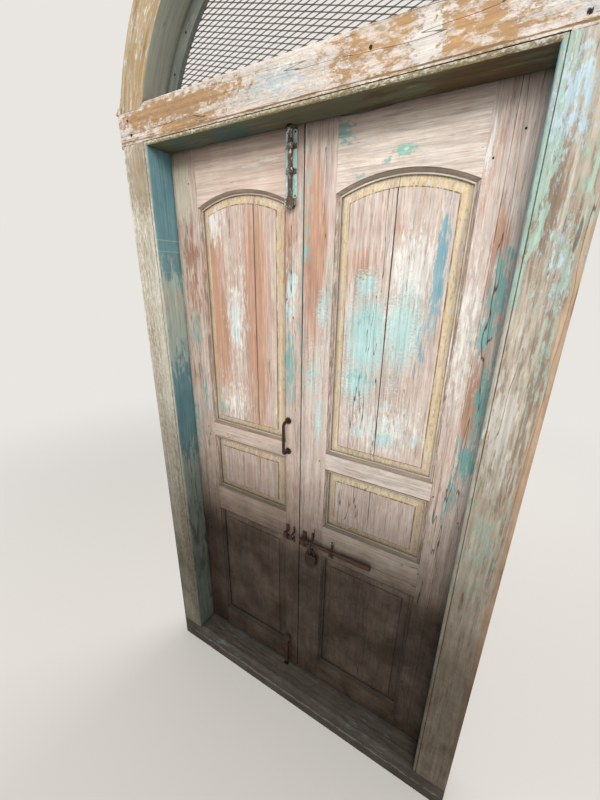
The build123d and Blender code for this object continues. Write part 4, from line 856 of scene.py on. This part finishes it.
bm = bmesh.new()
half = lattice["long"] / 2 * mm
rise = (lattice["short"] / 2 - lattice["width"] * lattice["lap"]) / 2 * mm
rows = int((archCentre + lattice["radius"] - lattice["floor"]) / (lattice["short"] / 2 * mm)) + 1
for row in range(rows):
    height = lattice["floor"] + row * lattice["short"] / 2 * mm
    reach = int(lattice["halfWide"] / half) + 1
    previous = None
    for n in range(-reach, reach + 1):
        lift = rise if (n + row) % 2 else -rise
        for dx in (-lattice["knot"] / 2 * mm, lattice["knot"] / 2 * mm):
            at = Vector((n * half + dx, 0, height + lift))
            inside = Vector((at.x, at.z - archCentre)).length < lattice["radius"]
            if not inside or at.z <= lattice["floor"] - lattice["slack"]:
                previous = None
                continue
            ends = [bm.verts.new(at + Vector((0, lattice["front"], lattice["width"] / 2 * mm))),
                    bm.verts.new(at + Vector((0, lattice["front"] + lattice["lean"] * mm,
                                              -lattice["width"] / 2 * mm)))]
            if previous:
                bm.faces.new((previous[0], previous[1], ends[1], ends[0]))
            previous = ends
bmesh.ops.delete(bm, geom=[vert for vert in bm.verts if not vert.link_faces], context="VERTS")
bmesh.ops.solidify(bm, geom=bm.faces[:], thickness=-lattice["thick"] * mm)
sheet = addPiece("expandedSteel", bm, irons["meshSteel"], "frame")
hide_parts("over_light_mesh")
print("expanded steel ready")

# Odd nails left in the leaves, as millimetres across and up, each head a forged dome
nailHead = {"radius": 2.6, "top": 0.45, "rise": 1.4, "sunk": 0.2}
oddNails = {"right_leaf": [(58, 1121), (414, 1115), (407, 835), (422, 1915), (470, 1957)],
            "left_leaf": [(-430, 1128), (-424, 820), (-432, 1952), (-60, 1128)]}

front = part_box("left_top_rail")[0].y - (nailHead["rise"] / 2 - nailHead["sunk"]) * mm
for body, spots in oddNails.items():
    bm = bmesh.new()
    for across, up in spots:
        turn = Matrix.Translation((across * mm, front, up * mm)) @ Matrix.Rotation(math.pi / 2, 4, "X")
        bmesh.ops.create_cone(bm, cap_ends=True, segments=8, radius1=nailHead["radius"] * mm,
                              radius2=nailHead["radius"] * nailHead["top"] * mm, depth=nailHead["rise"] * mm,
                              matrix=turn)
    addPiece("oddNails." + body, bm, irons["rustyIron"], body)

# A remnant of copper wire twisted round the far guide, gone green
wire = {"thick": 1.1, "ring": 7.5, "centre": (118, 19, 822), "axis": (0, 1, 0.25), "turned": 300, "steps": 18}

bm = bmesh.new()
centre = Vector(wire["centre"]) * mm
bmesh.ops.create_circle(bm, cap_ends=False, segments=8, radius=wire["thick"] * mm,
                        matrix=Matrix.Translation(centre + Vector((wire["ring"] * mm, 0, 0))))
bmesh.ops.spin(bm, geom=bm.edges[:], cent=centre, axis=wire["axis"],
                angle=math.radians(wire["turned"]), steps=wire["steps"], use_merge=False)
bmesh.ops.holes_fill(bm, edges=[edge for edge in bm.edges if edge.is_boundary], sides=8)
addPiece("patinaWire", bm, irons["patina"], "right_leaf", smooth=50)

# A strip of iron twisted upwards beside the near guide
strip = {"wide": 3.4, "thick": 1.2, "foot": (47, 22.6, 806), "rises": 9, "step": (0.55, -0.8, 5.0), "twist": 17}

bm = bmesh.new()
bmesh.ops.create_grid(bm, x_segments=1, y_segments=1, size=0.5)
bmesh.ops.scale(bm, verts=bm.verts, vec=(strip["wide"] * mm, strip["thick"] * mm, 1))
bmesh.ops.translate(bm, verts=bm.verts, vec=Vector(strip["foot"]) * mm)
tip = bm.faces[:]
at = Vector(strip["foot"]) * mm
for n in range(strip["rises"]):
    made = bmesh.ops.extrude_face_region(bm, geom=tip)
    if n:  # the foot keeps its face
        bmesh.ops.delete(bm, geom=tip, context="FACES_ONLY")
    tip = [item for item in made["geom"] if isinstance(item, bmesh.types.BMFace)]
    ring = list({vert for face in tip for vert in face.verts})
    at = at + Vector(strip["step"]) * mm
    bmesh.ops.translate(bm, verts=ring, vec=Vector(strip["step"]) * mm)
    bmesh.ops.rotate(bm, verts=ring, cent=at, matrix=Matrix.Rotation(math.radians(strip["twist"]), 3, "Z"))
addPiece("twistedStrip", bm, irons["rustyIron"], "right_leaf")
print("odd ironwork ready")

print("all pieces made")
